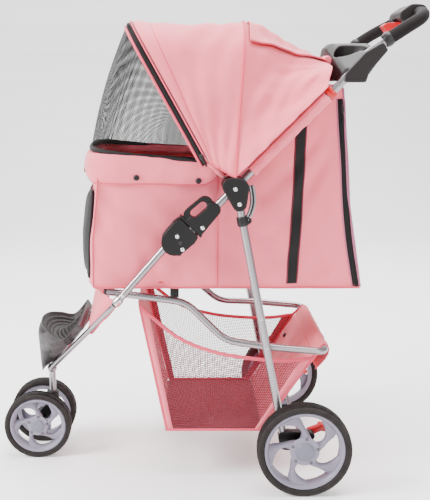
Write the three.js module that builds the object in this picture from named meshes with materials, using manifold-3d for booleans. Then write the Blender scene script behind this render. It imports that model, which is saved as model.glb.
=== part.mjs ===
// Folding four-wheel pet stroller: twin front caster, two rear wheels, zipped fabric cabin with a
// fan hood, a mesh basket below, a cup tray and a foam handle. Millimetres, +Z up, the front faces
// -Y and the left-hand side (of someone pushing it) is +X. Every length is written in a working
// frame with Y = 0 at the rear axle and Z = 0 on the ground, and the whole group is centred last.
import * as THREE from "three";
import { mergeVertices } from "three/addons/utils/BufferGeometryUtils.js";
import { ConvexGeometry } from "three/addons/geometries/ConvexGeometry.js";
import Module from "manifold-3d";

const wasm = await Module();
wasm.setup();

// ---- driving dimensions ---------------------------------------------------------------------
const WHEELBASE = 532; // rear axle to front axle
const REAR_TRACK = 439; // between the middles of the rear tyres
const FRONT_TRACK = 84; // between the middles of the two front tyres
const REAR_WHEEL_R = 90;
const REAR_TYRE_W = 33;
const REAR_RIM_R = 76.5;
const FRONT_WHEEL_R = 69;
const FRONT_TYRE_W = 28;
const FRONT_RIM_R = 58;
const AXLE_R = 4;
const CASTER_TRAIL = 26; // swivel axis to front axle

const GAP = 0.3; // between pieces that touch
const RUN = 0.35; // radial clearance of what turns or slides
const WALL = 1.2; // steel tube wall
const HANDLE_R = 7.5; // upper tubes, rear legs and grip bar
const FRONT_R = 7; // diagonal front tubes and the seat loop
const V_R = FRONT_R - WALL - GAP; // front V tubes plug into the diagonal tubes
const PIN_R = 3;

// planes of the side frames, from the middle outwards
const SEAT_X = 133; // front part of the seat loop
const FRONT_X = 151; // diagonal front tube
const HANDLE_X = 170; // upper handle tube
const LEG_X = 193; // rear leg

// joints of the folding side frame, as [y, z]
const HINGE = [-234, 480.4]; // handle tube on the front frame
const LEG_PIN = [-126.5, 555.7]; // rear leg on the handle bracket
const SEAT_PIN = [-343.7, 373.3]; // seat loop on the front tube
const RIB_PIN = [-134, 583]; // hood hoops on the handle bracket
const HANDLE_TILT = 45.1; // degrees above level
const FRONT_TILT = 49;
const LEG_LEAN = 11.25; // degrees, top towards the front
const LEG_LENGTH = 478;
const FRONT_TUBE_LENGTH = 192;
const FRONT_TUBE_ABOVE = 12; // of its upper rivet
const FRONT_RIVET = [-239.5, 493];
const HANDLE_TUBE_LENGTH = 444;
const TUBE_STUB = 9; // tube past its own pin

const CABIN_HALF = 137; // outer face of the side walls
const CLOTH = 3; // padded cabin wall
const THIN_CLOTH = 2;
const CABIN_FLOOR_Z = 398;
const FLOOR_THICK = 8;
const HOOD_HALF = 161;
const HOOP_R = 2.5;

const GRIP_HALF = 150;
const FOAM_R = 12;
const POD_HALF = 46;
const TRAY_HALF = 182;
const CUP_R = 37;
const CUP_X = 78;

// ---- finishes -------------------------------------------------------------------------------
const finish = (color, roughness, metalness = 0) =>
  new THREE.MeshStandardMaterial({ color, roughness, metalness });
const STEEL = finish(0x9c989d, 0.32, 0.85);
const BLACK = finish(0x1d1a1b, 0.45);
const DARK_PLASTIC = finish(0x4f4447, 0.5);
const FOAM = finish(0x372f30, 0.9);
const RED = finish(0xd8101f, 0.4);
const RIM = finish(0xa5a1af, 0.45);
const TYRE = finish(0x2b2223, 0.85);
const PINK = finish(0xeaa2a6, 0.85);
const PIPING = finish(0xd9808c, 0.8);
const MESH_CLOTH = finish(0x6c6164, 0.9);
const BASKET_MESH = finish(0xb0505f, 0.9);

// ---- helpers --------------------------------------------------------------------------------
const V = (x, y, z) => new THREE.Vector3(x, y, z);
const rad = THREE.MathUtils.degToRad;
const WELD = 1e-3;
const SIDE_VIEW = new THREE.Matrix4().makeBasis(V(0, 1, 0), V(0, 0, 1), V(1, 0, 0));
const SIDES = [
  ["left", 1],
  ["right", -1],
];

const stroller = new THREE.Group();

// A closed geometry as a solid with its faces outwards.
function solid(geometry) {
  const bare = geometry.clone();
  bare.deleteAttribute("normal");
  bare.deleteAttribute("uv");
  const merged = mergeVertices(bare, WELD);
  const at = merged.index.array;
  const build = (flip) => {
    const corners = [];
    for (let i = 0; i < at.length; i += 3) {
      const [a, b, c] = [at[i], at[i + 1], at[i + 2]];
      if (a !== b && b !== c && a !== c) corners.push(a, flip ? c : b, flip ? b : c);
    }
    return new wasm.Manifold(
      new wasm.Mesh({
        numProp: 3,
        vertProperties: merged.attributes.position.array,
        triVerts: new Uint32Array(corners),
      }),
    );
  };
  const made = build(false);
  return made.volume() < 0 ? build(true) : made;
}

const join = (...pieces) => pieces.reduce((all, piece) => all.add(piece));
const cut = (whole, ...pieces) => pieces.reduce((all, piece) => all.subtract(piece), whole);

// Adds a named piece, mirrored to the right-hand side when side is -1.
function add(name, piece, material, side = 1) {
  const made = piece.getMesh();
  const geometry = new THREE.BufferGeometry();
  geometry.setAttribute("position", new THREE.BufferAttribute(made.vertProperties, 3));
  geometry.setIndex(new THREE.BufferAttribute(made.triVerts, 1));
  geometry.computeVertexNormals();
  const mesh = new THREE.Mesh(geometry, material);
  mesh.name = name;
  mesh.scale.x = side;
  stroller.add(mesh);
}

const addPair = (name, piece, material) =>
  SIDES.forEach(([hand, side]) => add(`${name}_${hand}`, piece, material, side));

// A point on a line in a side plane: along the tilt, and square to it towards the upper front.
function along([y, z], degrees, distance, offset = 0) {
  const a = rad(degrees);
  return [
    y + distance * Math.cos(a) - offset * Math.sin(a),
    z + distance * Math.sin(a) + offset * Math.cos(a),
  ];
}

// Straight runs joined by round bends.
function route(points, bend) {
  const path = new THREE.CurvePath();
  let from = points[0];
  for (let i = 1; i < points.length - 1; i++) {
    const corner = points[i];
    const before = corner.clone().add(from.clone().sub(corner).setLength(bend));
    const after = corner.clone().add(points[i + 1].clone().sub(corner).setLength(bend));
    path.add(new THREE.LineCurve3(from, before));
    path.add(new THREE.QuadraticBezierCurve3(before, corner, after));
    from = after;
  }
  path.add(new THREE.LineCurve3(from, points.at(-1)));
  return path;
}

// A round bar or tube along a path. A quarter of curveSegments is one quadrant's worth of sides.
function sweep(path, radius, { bore = 0, steps = 1, half = 6 } = {}) {
  const section = new THREE.Shape().absarc(0, 0, radius, 0, Math.PI * 2);
  if (bore) section.holes.push(new THREE.Path().absarc(0, 0, bore, 0, Math.PI * 2));
  return solid(
    new THREE.ExtrudeGeometry(section, { extrudePath: path, steps, curveSegments: half }),
  );
}

const bar = (from, to, radius, options) =>
  sweep(new THREE.LineCurve3(from, to), radius, options);
const tube = (from, to, radius) => bar(from, to, radius, { bore: radius - WALL });
const crossBar = ([y, z], x0, x1, radius, half = 8) =>
  bar(V(x0, y, z), V(x1, y, z), radius, { half });

// The hull of circles [y, z, radius] in a side plane, from x0 to x1.
function blob(circles, x0, x1, sides = 16) {
  const points = [];
  for (const [y, z, r] of circles) {
    for (let i = 0; i < sides; i++) {
      const a = (i / sides) * Math.PI * 2;
      points.push(V(x0, y + r * Math.cos(a), z + r * Math.sin(a)));
      points.push(V(x1, y + r * Math.cos(a), z + r * Math.sin(a)));
    }
  }
  return solid(new ConvexGeometry(points));
}

// A flat side-view outline of [y, z] points, from x0 to x1.
function plate(outline, x0, x1) {
  const shape = new THREE.Shape(outline.map(([y, z]) => new THREE.Vector2(y, z)));
  const flat = new THREE.ExtrudeGeometry(shape, { depth: x1 - x0, bevelEnabled: false });
  return solid(flat.applyMatrix4(SIDE_VIEW).translate(x0, 0, 0));
}

function box(low, high) {
  const size = high.clone().sub(low);
  const middle = low.clone().add(high).multiplyScalar(0.5);
  const block = new THREE.BoxGeometry(size.x, size.y, size.z);
  return solid(block.translate(middle.x, middle.y, middle.z));
}

// A ring turned round the X axis from a closed section of [radius, x] points.
function turned(section, segments) {
  const profile = [...section, section[0]].map(([r, x]) => new THREE.Vector2(r, x));
  return solid(new THREE.LatheGeometry(profile, segments).rotateZ(-Math.PI / 2));
}

// A closed cloth panel: rows of points, thickened to the side that "inside" lies on.
function panel(rows, thickness, inside) {
  const m = rows.length;
  const n = rows[0].length;
  const at = (i, j) => rows[Math.min(Math.max(i, 0), m - 1)][Math.min(Math.max(j, 0), n - 1)];
  const outer = [];
  const inner = [];
  for (let i = 0; i < m; i++) {
    for (let j = 0; j < n; j++) {
      const down = at(i + 1, j).clone().sub(at(i - 1, j));
      const across = at(i, j + 1).clone().sub(at(i, j - 1));
      const normal = down.cross(across).normalize();
      if (normal.dot(inside.clone().sub(at(i, j))) < 0) normal.negate();
      outer.push(...at(i, j).toArray());
      inner.push(...at(i, j).clone().addScaledVector(normal, thickness).toArray());
    }
  }
  const faces = [];
  const quad = (a, b, c, d) => faces.push(a, b, c, a, c, d);
  const id = (i, j) => i * n + j;
  const under = m * n;
  for (let i = 0; i < m - 1; i++) {
    for (let j = 0; j < n - 1; j++) {
      quad(id(i, j), id(i, j + 1), id(i + 1, j + 1), id(i + 1, j));
      quad(
        under + id(i, j),
        under + id(i + 1, j),
        under + id(i + 1, j + 1),
        under + id(i, j + 1),
      );
    }
  }
  const rim = [];
  for (let j = 0; j < n - 1; j++) rim.push(id(0, j));
  for (let i = 0; i < m - 1; i++) rim.push(id(i, n - 1));
  for (let j = n - 1; j > 0; j--) rim.push(id(m - 1, j));
  for (let i = m - 1; i > 0; i--) rim.push(id(i, 0));
  rim.forEach((a, k) => {
    const b = rim[(k + 1) % rim.length];
    quad(a, under + a, under + b, b);
  });
  const geometry = new THREE.BufferGeometry();
  geometry.setAttribute("position", new THREE.Float32BufferAttribute([...outer, ...inner], 3));
  geometry.setIndex(faces);
  return solid(geometry);
}

// A capped body through rings that all have the same number of points.
function loft(rings) {
  const n = rings[0].length;
  const points = rings.flat();
  const faces = [];
  for (let k = 0; k < rings.length - 1; k++) {
    for (let i = 0; i < n; i++) {
      const a = k * n + i;
      const b = k * n + ((i + 1) % n);
      faces.push(a, b, b + n, a, b + n, a + n);
    }
  }
  const cap = (ring, base, flip) => {
    const middle = ring.reduce((sum, p) => sum.add(p), V(0, 0, 0)).divideScalar(n);
    const hub = points.push(middle) - 1;
    for (let i = 0; i < n; i++) {
      const pair = [base + i, base + ((i + 1) % n)];
      if (flip) pair.reverse();
      faces.push(hub, pair[1], pair[0]);
    }
  };
  cap(rings[0], 0, false);
  cap(rings.at(-1), (rings.length - 1) * n, true);
  const geometry = new THREE.BufferGeometry().setFromPoints(points);
  geometry.setIndex(faces);
  return solid(geometry);
}

const smooth = (points, count) =>
  new THREE.CatmullRomCurve3(points, false, "centripetal").getPoints(count);
const mirrored = (half) => [
  ...half,
  ...half
    .slice(0, -1)
    .reverse()
    .map((p) => V(-p.x, p.y, p.z)),
];
const sideValue = (table, z) => {
  const i = Math.max(1, table.findIndex(([, at]) => at >= z));
  const [[y0, z0], [y1, z1]] = [table[i - 1], table[i]];
  return y0 + ((y1 - y0) * (z - z0)) / (z1 - z0);
};

// ---- wheels ---------------------------------------------------------------------------------
const SPOKES = 5;
const ROUND = 36; // sides of a wheel

function tyre(radius, rim, width) {
  const bead = rim + GAP;
  const half = width / 2;
  const shoulder = radius - 0.3 * (radius - bead);
  return turned(
    [
      [bead, -half * 0.78],
      [shoulder, -half],
      [radius, -half * 0.4],
      [radius, half * 0.4],
      [shoulder, half],
      [bead, half * 0.78],
    ],
    ROUND,
  );
}

function rim(radius, width) {
  const half = width / 2;
  const well = radius - 10;
  const hub = radius * 0.21;
  const ring = turned(
    [
      [well, -half * 0.7],
      [radius, -half * 0.76],
      [radius, half * 0.76],
      [well, half * 0.7],
    ],
    ROUND,
  );
  const boss = crossBar([0, 0], -half, half, hub, 10);
  const spokes = Array.from({ length: SPOKES }, (_, k) => {
    const arm = new THREE.BoxGeometry(half, well - hub + 6, radius * 0.27);
    arm.translate(half * 0.3, (well + hub) / 2, 0).rotateX((k / SPOKES) * Math.PI * 2 + 0.35);
    return solid(arm);
  });
  const bore = crossBar([0, 0], -half - 1, half - 4, AXLE_R + RUN);
  return cut(join(ring, boss, ...spokes), bore);
}

function wheelPair(place, [y, z], track, radius, rimRadius, width) {
  addPair(`${place}_tyre`, tyre(radius, rimRadius, width).translate([track / 2, y, z]), TYRE);
  addPair(`${place}_rim`, rim(rimRadius, width).translate([track / 2, y, z]), RIM);
}

const REAR_AXLE = [0, REAR_WHEEL_R];
const FRONT_AXLE = [-WHEELBASE, FRONT_WHEEL_R];
const STEM_Y = -WHEELBASE + CASTER_TRAIL;
wheelPair("rear", REAR_AXLE, REAR_TRACK, REAR_WHEEL_R, REAR_RIM_R, REAR_TYRE_W);
wheelPair("front", FRONT_AXLE, FRONT_TRACK, FRONT_WHEEL_R, FRONT_RIM_R, FRONT_TYRE_W);

// ---- front frame ----------------------------------------------------------------------------
const frontEnd = along(FRONT_RIVET, FRONT_TILT, FRONT_TUBE_ABOVE - FRONT_TUBE_LENGTH);
const frontTop = along(FRONT_RIVET, FRONT_TILT, FRONT_TUBE_ABOVE);
const SEAT_HOLE = crossBar(SEAT_PIN, 120, 170, PIN_R + RUN);
addPair("front_tube", cut(tube(V(FRONT_X, ...frontTop), V(FRONT_X, ...frontEnd), FRONT_R), SEAT_HOLE), STEEL);

const HUB_Z = 178;
const HUB_R = 10;
const STEM_FOOT_Z = 101;
const V_PLUG = 24; // of the V tube inside the diagonal tube, stopping short of the seat pin
function vTube() {
  const inside = V(FRONT_X, ...along(frontEnd, FRONT_TILT, V_PLUG * 0.4));
  const elbow = V(FRONT_X, ...along(frontEnd, FRONT_TILT, -V_PLUG * 0.6));
  const path = route([inside, elbow, V(0, STEM_Y, HUB_Z)], 9);
  const whole = sweep(path, V_R, { bore: V_R - WALL, steps: 14, half: 5 });
  const hubRoom = new THREE.SphereGeometry(HUB_R + GAP, 16, 12).translate(0, STEM_Y, HUB_Z);
  const halfSpace = box(V(-60, STEM_Y - 60, 90), V(1, STEM_Y + 60, 260));
  return cut(whole, solid(hubRoom), halfSpace);
}
addPair("v_tube", vTube(), STEEL);

function frontStem() {
  const post = bar(V(0, STEM_Y, STEM_FOOT_Z), V(0, STEM_Y, HUB_Z), FRONT_R, { half: 8 });
  const knuckle = solid(new THREE.SphereGeometry(HUB_R, 16, 12).translate(0, STEM_Y, HUB_Z));
  return join(post, knuckle);
}
add("front_stem", frontStem(), STEEL);

// ---- footrest: a scoop over the V tubes -----------------------------------------------------
function footrest() {
  const half = {
    rim: [V(100, -438, 302), V(98, -467, 270), V(85, -494, 276), V(52, -515, 285), V(0, -523, 289)],
    bulge: [V(95, -432, 296), V(78, -468, 256), V(66, -504, 242), V(38, -525, 240), V(0, -532, 240)],
    foot: [V(90, -427, 291), V(40, -482, 222), V(26, -500, 203), V(13, -522, 181), V(0, -529, 169)],
  };
  const outer = loft([mirrored(half.rim), mirrored(half.bulge), mirrored(half.foot)]);
  const middle = V(0, -470, 0);
  const shrink = (points, lift, share) =>
    mirrored(points.map((p) => p.clone().sub(middle).multiply(V(share, share, 1)).add(middle)))
      .map((p) => p.add(V(0, 1, lift)));
  const bowl = loft([
    shrink(half.rim, 30, 0.955),
    shrink(half.rim, -1, 0.95),
    shrink(half.bulge, 4, 0.93),
    shrink(half.foot, 14, 0.82),
  ]);
  return cut(outer, bowl);
}
add("footrest", footrest(), DARK_PLASTIC);

// ---- fold lock ------------------------------------------------------------------------------
const SLIDER_HALF = HANDLE_R + RUN + 2; // in x, about the handle tube
const SLIDER_FROM = 33; // along the tube from the hinge
const CHEEK_X = HANDLE_X + SLIDER_HALF + 0.7;
const CHEEK_THICK = 3.8;
const BLOCK_X0 = 141;
const BLOCK_X1 = HANDLE_X - SLIDER_HALF - 0.7;
const fromHinge = (s, n, r) => [...along(HINGE, HANDLE_TILT, s, n), r];
const alongTube = ([s0, n0], [s1, n1], x0, x1) =>
  plate(
    [[s0, n0], [s0, n1], [s1, n1], [s1, n0]].map(([s, n]) => along(HINGE, HANDLE_TILT, s, n)),
    x0,
    x1,
  );

function lockHousing() {
  const outline = [fromHinge(-7, 8, 25), fromHinge(18, 8, 27)];
  const block = blob(outline, BLOCK_X0, BLOCK_X1);
  const cheek = blob(outline, CHEEK_X, CHEEK_X + CHEEK_THICK);
  const web = blob([fromHinge(-19.7, -3.4, 7), fromHinge(-15.2, -11.4, 6)], BLOCK_X1 - 1, CHEEK_X + 1);
  const end = SLIDER_FROM - 1;
  const beyond = alongTube([end, -60], [end + 60, 60], BLOCK_X0 - 1, CHEEK_X + CHEEK_THICK + 1);
  const tubeRoom = bar(
    V(FRONT_X, ...along(FRONT_RIVET, FRONT_TILT, 80)),
    V(FRONT_X, ...along(FRONT_RIVET, FRONT_TILT, -80)),
    FRONT_R + GAP,
  );
  const pinRoom = crossBar(HINGE, BLOCK_X0 - 1, CHEEK_X + CHEEK_THICK + 1, PIN_R + GAP);
  return cut(join(block, cheek, web), beyond, tubeRoom, pinRoom);
}
addPair("lock_housing", lockHousing(), BLACK);

const pinHead = 2.5;
addPair(
  "fold_pin",
  join(
    crossBar(HINGE, BLOCK_X0 + 1, CHEEK_X + CHEEK_THICK + 1, PIN_R),
    crossBar(HINGE, CHEEK_X + CHEEK_THICK + GAP, CHEEK_X + CHEEK_THICK + GAP + pinHead, 4.5),
  ),
  STEEL,
);

function lockSlider() {
  const x0 = HANDLE_X - SLIDER_HALF;
  const x1 = HANDLE_X + SLIDER_HALF;
  const barrel = blob([fromHinge(SLIDER_FROM + 6, 2, 20), fromHinge(87, 0, 13.5)], x0, x1);
  const flange = alongTube([SLIDER_FROM, -20], [SLIDER_FROM + 4.5, 36], x0, x1);
  const loop = blob([fromHinge(50, 21, 15), fromHinge(83, 18, 15)], HANDLE_X - 6, HANDLE_X + 6);
  const fingerHole = blob([fromHinge(57, 20.5, 7.5), fromHinge(78, 19, 7.5)], x0 - 1, x1 + 1);
  const housingSide = alongTube([-60, -60], [SLIDER_FROM, 60], x0 - 1, x1 + 1);
  const tubeRoom = bar(
    V(HANDLE_X, ...along(HINGE, HANDLE_TILT, 0)),
    V(HANDLE_X, ...along(HINGE, HANDLE_TILT, 130)),
    HANDLE_R + RUN,
  );
  return cut(join(barrel, flange, loop), housingSide, fingerHole, tubeRoom);
}
addPair("lock_slider", lockSlider(), BLACK);

// ---- handle frame ---------------------------------------------------------------------------
const handlePoint = (s) => V(HANDLE_X, ...along(HINGE, HANDLE_TILT, s));
const handleTube = cut(
  tube(handlePoint(-TUBE_STUB), handlePoint(HANDLE_TUBE_LENGTH - TUBE_STUB), HANDLE_R),
  crossBar(HINGE, 150, 190, PIN_R + RUN),
);
addPair("handle_tube", handleTube, STEEL);

const BRACKET_IN = HANDLE_X - HANDLE_R - 3;
const LEG_SLOT = HANDLE_R + 0.7;
const BRACKET_OUT = LEG_X + LEG_SLOT + 3.5;
function legBracket() {
  const lobes = [[...LEG_PIN, 13.5], [-128, 584, 19], [-143, 588, 15]];
  const inner = blob(lobes, BRACKET_IN, LEG_X - LEG_SLOT);
  const outer = blob(lobes, LEG_X + LEG_SLOT, BRACKET_OUT);
  const bridge = cut(
    blob(lobes.slice(1), LEG_X - LEG_SLOT - 1, LEG_X + LEG_SLOT + 1),
    crossBar(LEG_PIN, LEG_X - LEG_SLOT, LEG_X + LEG_SLOT, 13),
  );
  const legPin = crossBar(LEG_PIN, LEG_X - LEG_SLOT - 1, LEG_X + LEG_SLOT + 1, PIN_R);
  const hoopPin = crossBar(RIB_PIN, BRACKET_IN - 14, BRACKET_IN + 1, PIN_R);
  const tubeRoom = bar(handlePoint(60), handlePoint(220), HANDLE_R + GAP);
  return join(cut(join(inner, outer, bridge), tubeRoom), legPin, hoopPin);
}
addPair("leg_bracket", legBracket(), BLACK);

const COLLAR_AT = 385;
addPair(
  "tube_collar",
  bar(handlePoint(COLLAR_AT - 7), handlePoint(COLLAR_AT + 7), HANDLE_R + 4.5, {
    bore: HANDLE_R + GAP,
    half: 8,
  }),
  RED,
);

// The grip bar rises out of the tray and arches over to the other side.
const GRIP_FOOT = V(GRIP_HALF, 104, 822);
const GRIP_ARCH = [
  GRIP_FOOT,
  V(GRIP_HALF, 132, 842),
  V(148, 172, 868),
  V(126, 205, 887),
  V(84, 220, 898),
  V(40, 223, 902),
  V(0, 224, 903),
];
const gripCurve = new THREE.CatmullRomCurve3(mirrored(GRIP_ARCH), false, "centripetal");
class Stretch extends THREE.Curve {
  constructor(curve, from, to) {
    super();
    Object.assign(this, { curve, from, to });
  }
  getPoint(t, target) {
    return this.curve.getPointAt(this.from + (this.to - this.from) * t, target);
  }
}
const gripShare = (x) => {
  let share = 0;
  while (gripCurve.getPointAt(share).x > x) share += 0.002;
  return share;
};
const GRIP_STEPS = 24;
add("grip_bar", sweep(gripCurve, HANDLE_R, { bore: HANDLE_R - WALL, steps: GRIP_STEPS }), STEEL);
const FOAM_FROM = 0.075; // share of the bar that the tray hides

const gripRoom = (extra) => sweep(gripCurve, HANDLE_R + extra, { steps: GRIP_STEPS });
const sleeve = new Stretch(gripCurve, FOAM_FROM, gripShare(POD_HALF + 3));
addPair("foam_grip", cut(sweep(sleeve, FOAM_R, { steps: 10 }), gripRoom(GAP)), FOAM);

const TRIGGER_HALF = 17;
const TRIGGER_TRAVEL = 6;
function gripPod() {
  const body = blob([[199, 897, 13], [226, 905, 13.5], [212, 906, 13]], -POD_HALF, POD_HALF, 16);
  const pocket = box(
    V(-TRIGGER_HALF - 1, 178, 870),
    V(TRIGGER_HALF + 1, 214 - HANDLE_R + 3, 903 - HANDLE_R - 2),
  );
  return cut(body, pocket, gripRoom(GAP));
}
add("grip_pod", gripPod(), DARK_PLASTIC);

function triggerButton() {
  const outline = [[161, 880], [172, 864], [196, 875], [202, 881], [202, 886], [190, 887], [168, 885]];
  const key = plate(outline, -TRIGGER_HALF, TRIGGER_HALF);
  return cut(key, gripRoom(TRIGGER_TRAVEL + 1));
}
add("trigger_button", triggerButton(), RED);

// The tray is highest in the middle and falls to a sleeve round each tube. Its cups lean back.
const TRAY_MIDDLE = [[48, 775], [48, 836], [60, 846], [130, 846], [142, 838], [119, 798], [103, 775]];
const TRAY_END = [[58, 774], [58, 788], [66, 797], [120, 820], [126, 812], [108, 790], [99, 774]];
const TRAY_SIDE = [[60, 772], [99, 772], [105, 792], [112, 799], [137, 829], [127, 843], [97, 826], [60, 786]];
const CUP_RINGS = [[78, 782, 21], [84, 806, 28], [95, 850, CUP_R]];
function cupTray() {
  const hullPoints = [[TRAY_MIDDLE, 24], [TRAY_END, TRAY_HALF - 20]].flatMap(([outline, x]) =>
    outline.flatMap(([y, z]) => [V(x, y, z), V(-x, y, z)]),
  );
  const bowl = solid(new ConvexGeometry(hullPoints));
  const ends = SIDES.map(([, s]) =>
    plate(TRAY_SIDE, ...[s * (TRAY_HALF - 23), s * TRAY_HALF].sort((p, q) => p - q)),
  );
  const cups = SIDES.map(([, s]) =>
    loft(
      CUP_RINGS.map(([y, z, r]) =>
        Array.from({ length: 20 }, (_, k) => {
          const a = (k / 20) * Math.PI * 2;
          return V(s * CUP_X + r * Math.cos(a), y + r * Math.sin(a), z);
        }),
      ),
    ),
  );
  const flip = (s, p) => V(p.x * s, p.y, p.z);
  const sockets = SIDES.map(([, s]) =>
    bar(flip(s, handlePoint(380)), flip(s, handlePoint(HANDLE_TUBE_LENGTH - TUBE_STUB + 1)), HANDLE_R + GAP),
  );
  return cut(join(bowl, ...ends), ...cups, gripRoom(GAP), ...sockets);
}
add("cup_tray", cupTray(), DARK_PLASTIC);

// ---- rear leg frame -------------------------------------------------------------------------
const legPoint = (s) => V(LEG_X, ...along(LEG_PIN, 90 + LEG_LEAN, -s));
const rearLeg = cut(
  tube(legPoint(-TUBE_STUB), legPoint(LEG_LENGTH), HANDLE_R),
  crossBar(LEG_PIN, LEG_X - 20, LEG_X + 20, PIN_R + RUN),
);
addPair("rear_leg", rearLeg, STEEL);

const CLIP_AT = 33;
function legStay() {
  const clip = bar(legPoint(CLIP_AT - 7), legPoint(CLIP_AT + 7), HANDLE_R + 3.5, {
    bore: HANDLE_R + GAP,
    half: 8,
  });
  const strap = smooth([V(0, -105, 589), V(0, -101.5, 570), V(0, -103, 548), V(0, -112, 523)], 6);
  const edge = strap.map((p) => [p.y, p.z]);
  const strip = plate([...edge, ...edge.map(([y, z]) => [y + 3, z]).reverse()], LEG_X - 6, LEG_X + 6);
  const legRoom = bar(legPoint(-20), legPoint(80), HANDLE_R + GAP);
  return cut(join(clip, strip), legRoom);
}
addPair("leg_stay", legStay(), STEEL);

add(
  "rear_axle",
  crossBar(REAR_AXLE, -REAR_TRACK / 2 - 8, REAR_TRACK / 2 + 8, AXLE_R),
  STEEL,
);

const BRAKE_PIN = [16, 108];
const PEDAL_X = [169, 183];
function axleBracket() {
  const foot = legPoint(LEG_LENGTH - 16);
  const x0 = LEG_X - HANDLE_R - 2;
  const x1 = REAR_TRACK / 2 - REAR_TYRE_W / 2 - 1.5;
  const body = blob([[foot.y, foot.z + 4, 11], [foot.y + 3, foot.z - 12, 11], [...REAR_AXLE, 12], [...BRAKE_PIN, 7]], x0, x1);
  const legRoom = bar(legPoint(300), legPoint(LEG_LENGTH + 1), HANDLE_R + GAP);
  const pedalPin = crossBar(BRAKE_PIN, PEDAL_X[0] - 2, x0 + 1, PIN_R - 0.5);
  const axleRoom = crossBar(REAR_AXLE, x0 - 1, x1 + 1, AXLE_R + GAP);
  return join(cut(body, legRoom, axleRoom), pedalPin);
}
addPair("axle_bracket", axleBracket(), BLACK);

function brakePedal() {
  const hub = [...BRAKE_PIN, 6.5];
  const lever = join(
    blob([hub, [40, 118, 5.5]], ...PEDAL_X),
    blob([[38, 117, 6], [54, 112, 5]], PEDAL_X[0] - 8, PEDAL_X[1]),
  );
  return cut(lever, crossBar(BRAKE_PIN, 140, 200, PIN_R - 0.5 + RUN));
}
addPair("brake_pedal", brakePedal(), RED);

// ---- front caster ---------------------------------------------------------------------------
const SOCKET_R = 13;
const SOCKET_TOP = 128;
function casterFork() {
  const socket = bar(V(0, STEM_Y, 88), V(0, STEM_Y, SOCKET_TOP), SOCKET_R, { half: 10 });
  const hub = crossBar(FRONT_AXLE, -24, 24, SOCKET_R, 10);
  const web = blob([[...FRONT_AXLE, 12], [STEM_Y - 2, 98, 10], [STEM_Y - 8, 88, 8]], -9, 9);
  const stemRoom = bar(V(0, STEM_Y, STEM_FOOT_Z - 1), V(0, STEM_Y, SOCKET_TOP + 1), FRONT_R + RUN, {
    half: 8,
  });
  const axleRoom = crossBar(FRONT_AXLE, -30, 30, AXLE_R + GAP);
  return cut(join(socket, hub, web), stemRoom, axleRoom);
}
add("caster_fork", casterFork(), BLACK);
add("front_axle", crossBar(FRONT_AXLE, -FRONT_TRACK / 2 - 8, FRONT_TRACK / 2 + 8, AXLE_R), STEEL);

// ---- seat frame: one bent loop that carries the cabin and the basket ---------------------------
const LOOP_REAR = V(172, 44, 267);
function seatLoop() {
  const half = [
    V(SEAT_X, -378, 376.6),
    V(SEAT_X, -223.5, 355.3),
    V(SEAT_X + 20, -148.4, 284.7),
    V(LOOP_REAR.x, -70, 277.5),
    V(LOOP_REAR.x, LOOP_REAR.y, LOOP_REAR.z),
  ];
  const other = half.map((p) => V(-p.x, p.y, p.z)).reverse();
  const loop = sweep(route([...half, ...other], 24), FRONT_R, {
    bore: FRONT_R - WALL,
    steps: 48,
    half: 4,
  });
  const pins = SIDES.map(([, s]) => crossBar(SEAT_PIN, s * (SEAT_X - 2), s * (FRONT_X + 10), PIN_R));
  return join(loop, ...pins);
}
add("seat_loop", seatLoop(), STEEL);

// ---- basket ---------------------------------------------------------------------------------
const BASKET_FLOOR = { half: 148, front: -262, rear: -76, z: 100 };
const BASKET_TOP_FRONT = V(118, -318, 352);
const BASKET_TOP_REAR = V(158, 26, 252);
const HEM = [
  V(BASKET_TOP_FRONT.x + 3, BASKET_TOP_FRONT.y + 4, BASKET_TOP_FRONT.z - 8),
  V(130, -240, 284),
  V(142, -167, 257),
  V(150, -90, 246),
  V(156, -30, 244),
  V(BASKET_TOP_REAR.x, BASKET_TOP_REAR.y - 5, BASKET_TOP_REAR.z - 2),
];
const inBasket = V(0, -150, 200);

function basketSide() {
  const top = smooth(HEM, 8);
  const { half, front, rear, z } = BASKET_FLOOR;
  const rows = [0, 0.5, 1].map((t) =>
    top.map((p, i) => V(half + 2, front + 2 + ((rear - front - 4) * i) / 8, z).lerp(p, t)),
  );
  return panel(rows, THIN_CLOTH, inBasket);
}
addPair("basket_side", basketSide(), BASKET_MESH);

const basketEnd = (bottomY, top) => {
  const { half, z } = BASKET_FLOOR;
  return panel(
    [0, 0.5, 1].map((t) =>
      [-1, -0.5, 0, 0.5, 1].map((s) =>
        V(s * (half - 4), bottomY, z).lerp(V(s * (top.x - 4), top.y, top.z), t),
      ),
    ),
    THIN_CLOTH,
    inBasket,
  );
};
add("basket_front", basketEnd(BASKET_FLOOR.front - 3, BASKET_TOP_FRONT), PIPING);
add("basket_rear", basketEnd(BASKET_FLOOR.rear + 3, BASKET_TOP_REAR), PIPING);
add(
  "basket_floor",
  box(
    V(-BASKET_FLOOR.half, BASKET_FLOOR.front, BASKET_FLOOR.z - 5),
    V(BASKET_FLOOR.half, BASKET_FLOOR.rear, BASKET_FLOOR.z - 5 + THIN_CLOTH),
  ),
  BASKET_MESH,
);

// ---- cabin ----------------------------------------------------------------------------------
// outer face of the front and rear walls, as [y, z]
const FRONT_EDGE = [[-402, CABIN_FLOOR_Z - 14], [-401, 480], [-392, 560], [-386, 634]];
const REAR_EDGE = [[112, CABIN_FLOOR_Z - 14], [98, 470], [82, 565], [73, 680], [66, 768]];
const LIP_Z = 620;
const WALL_GAP = CLOTH + 1.8;

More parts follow.
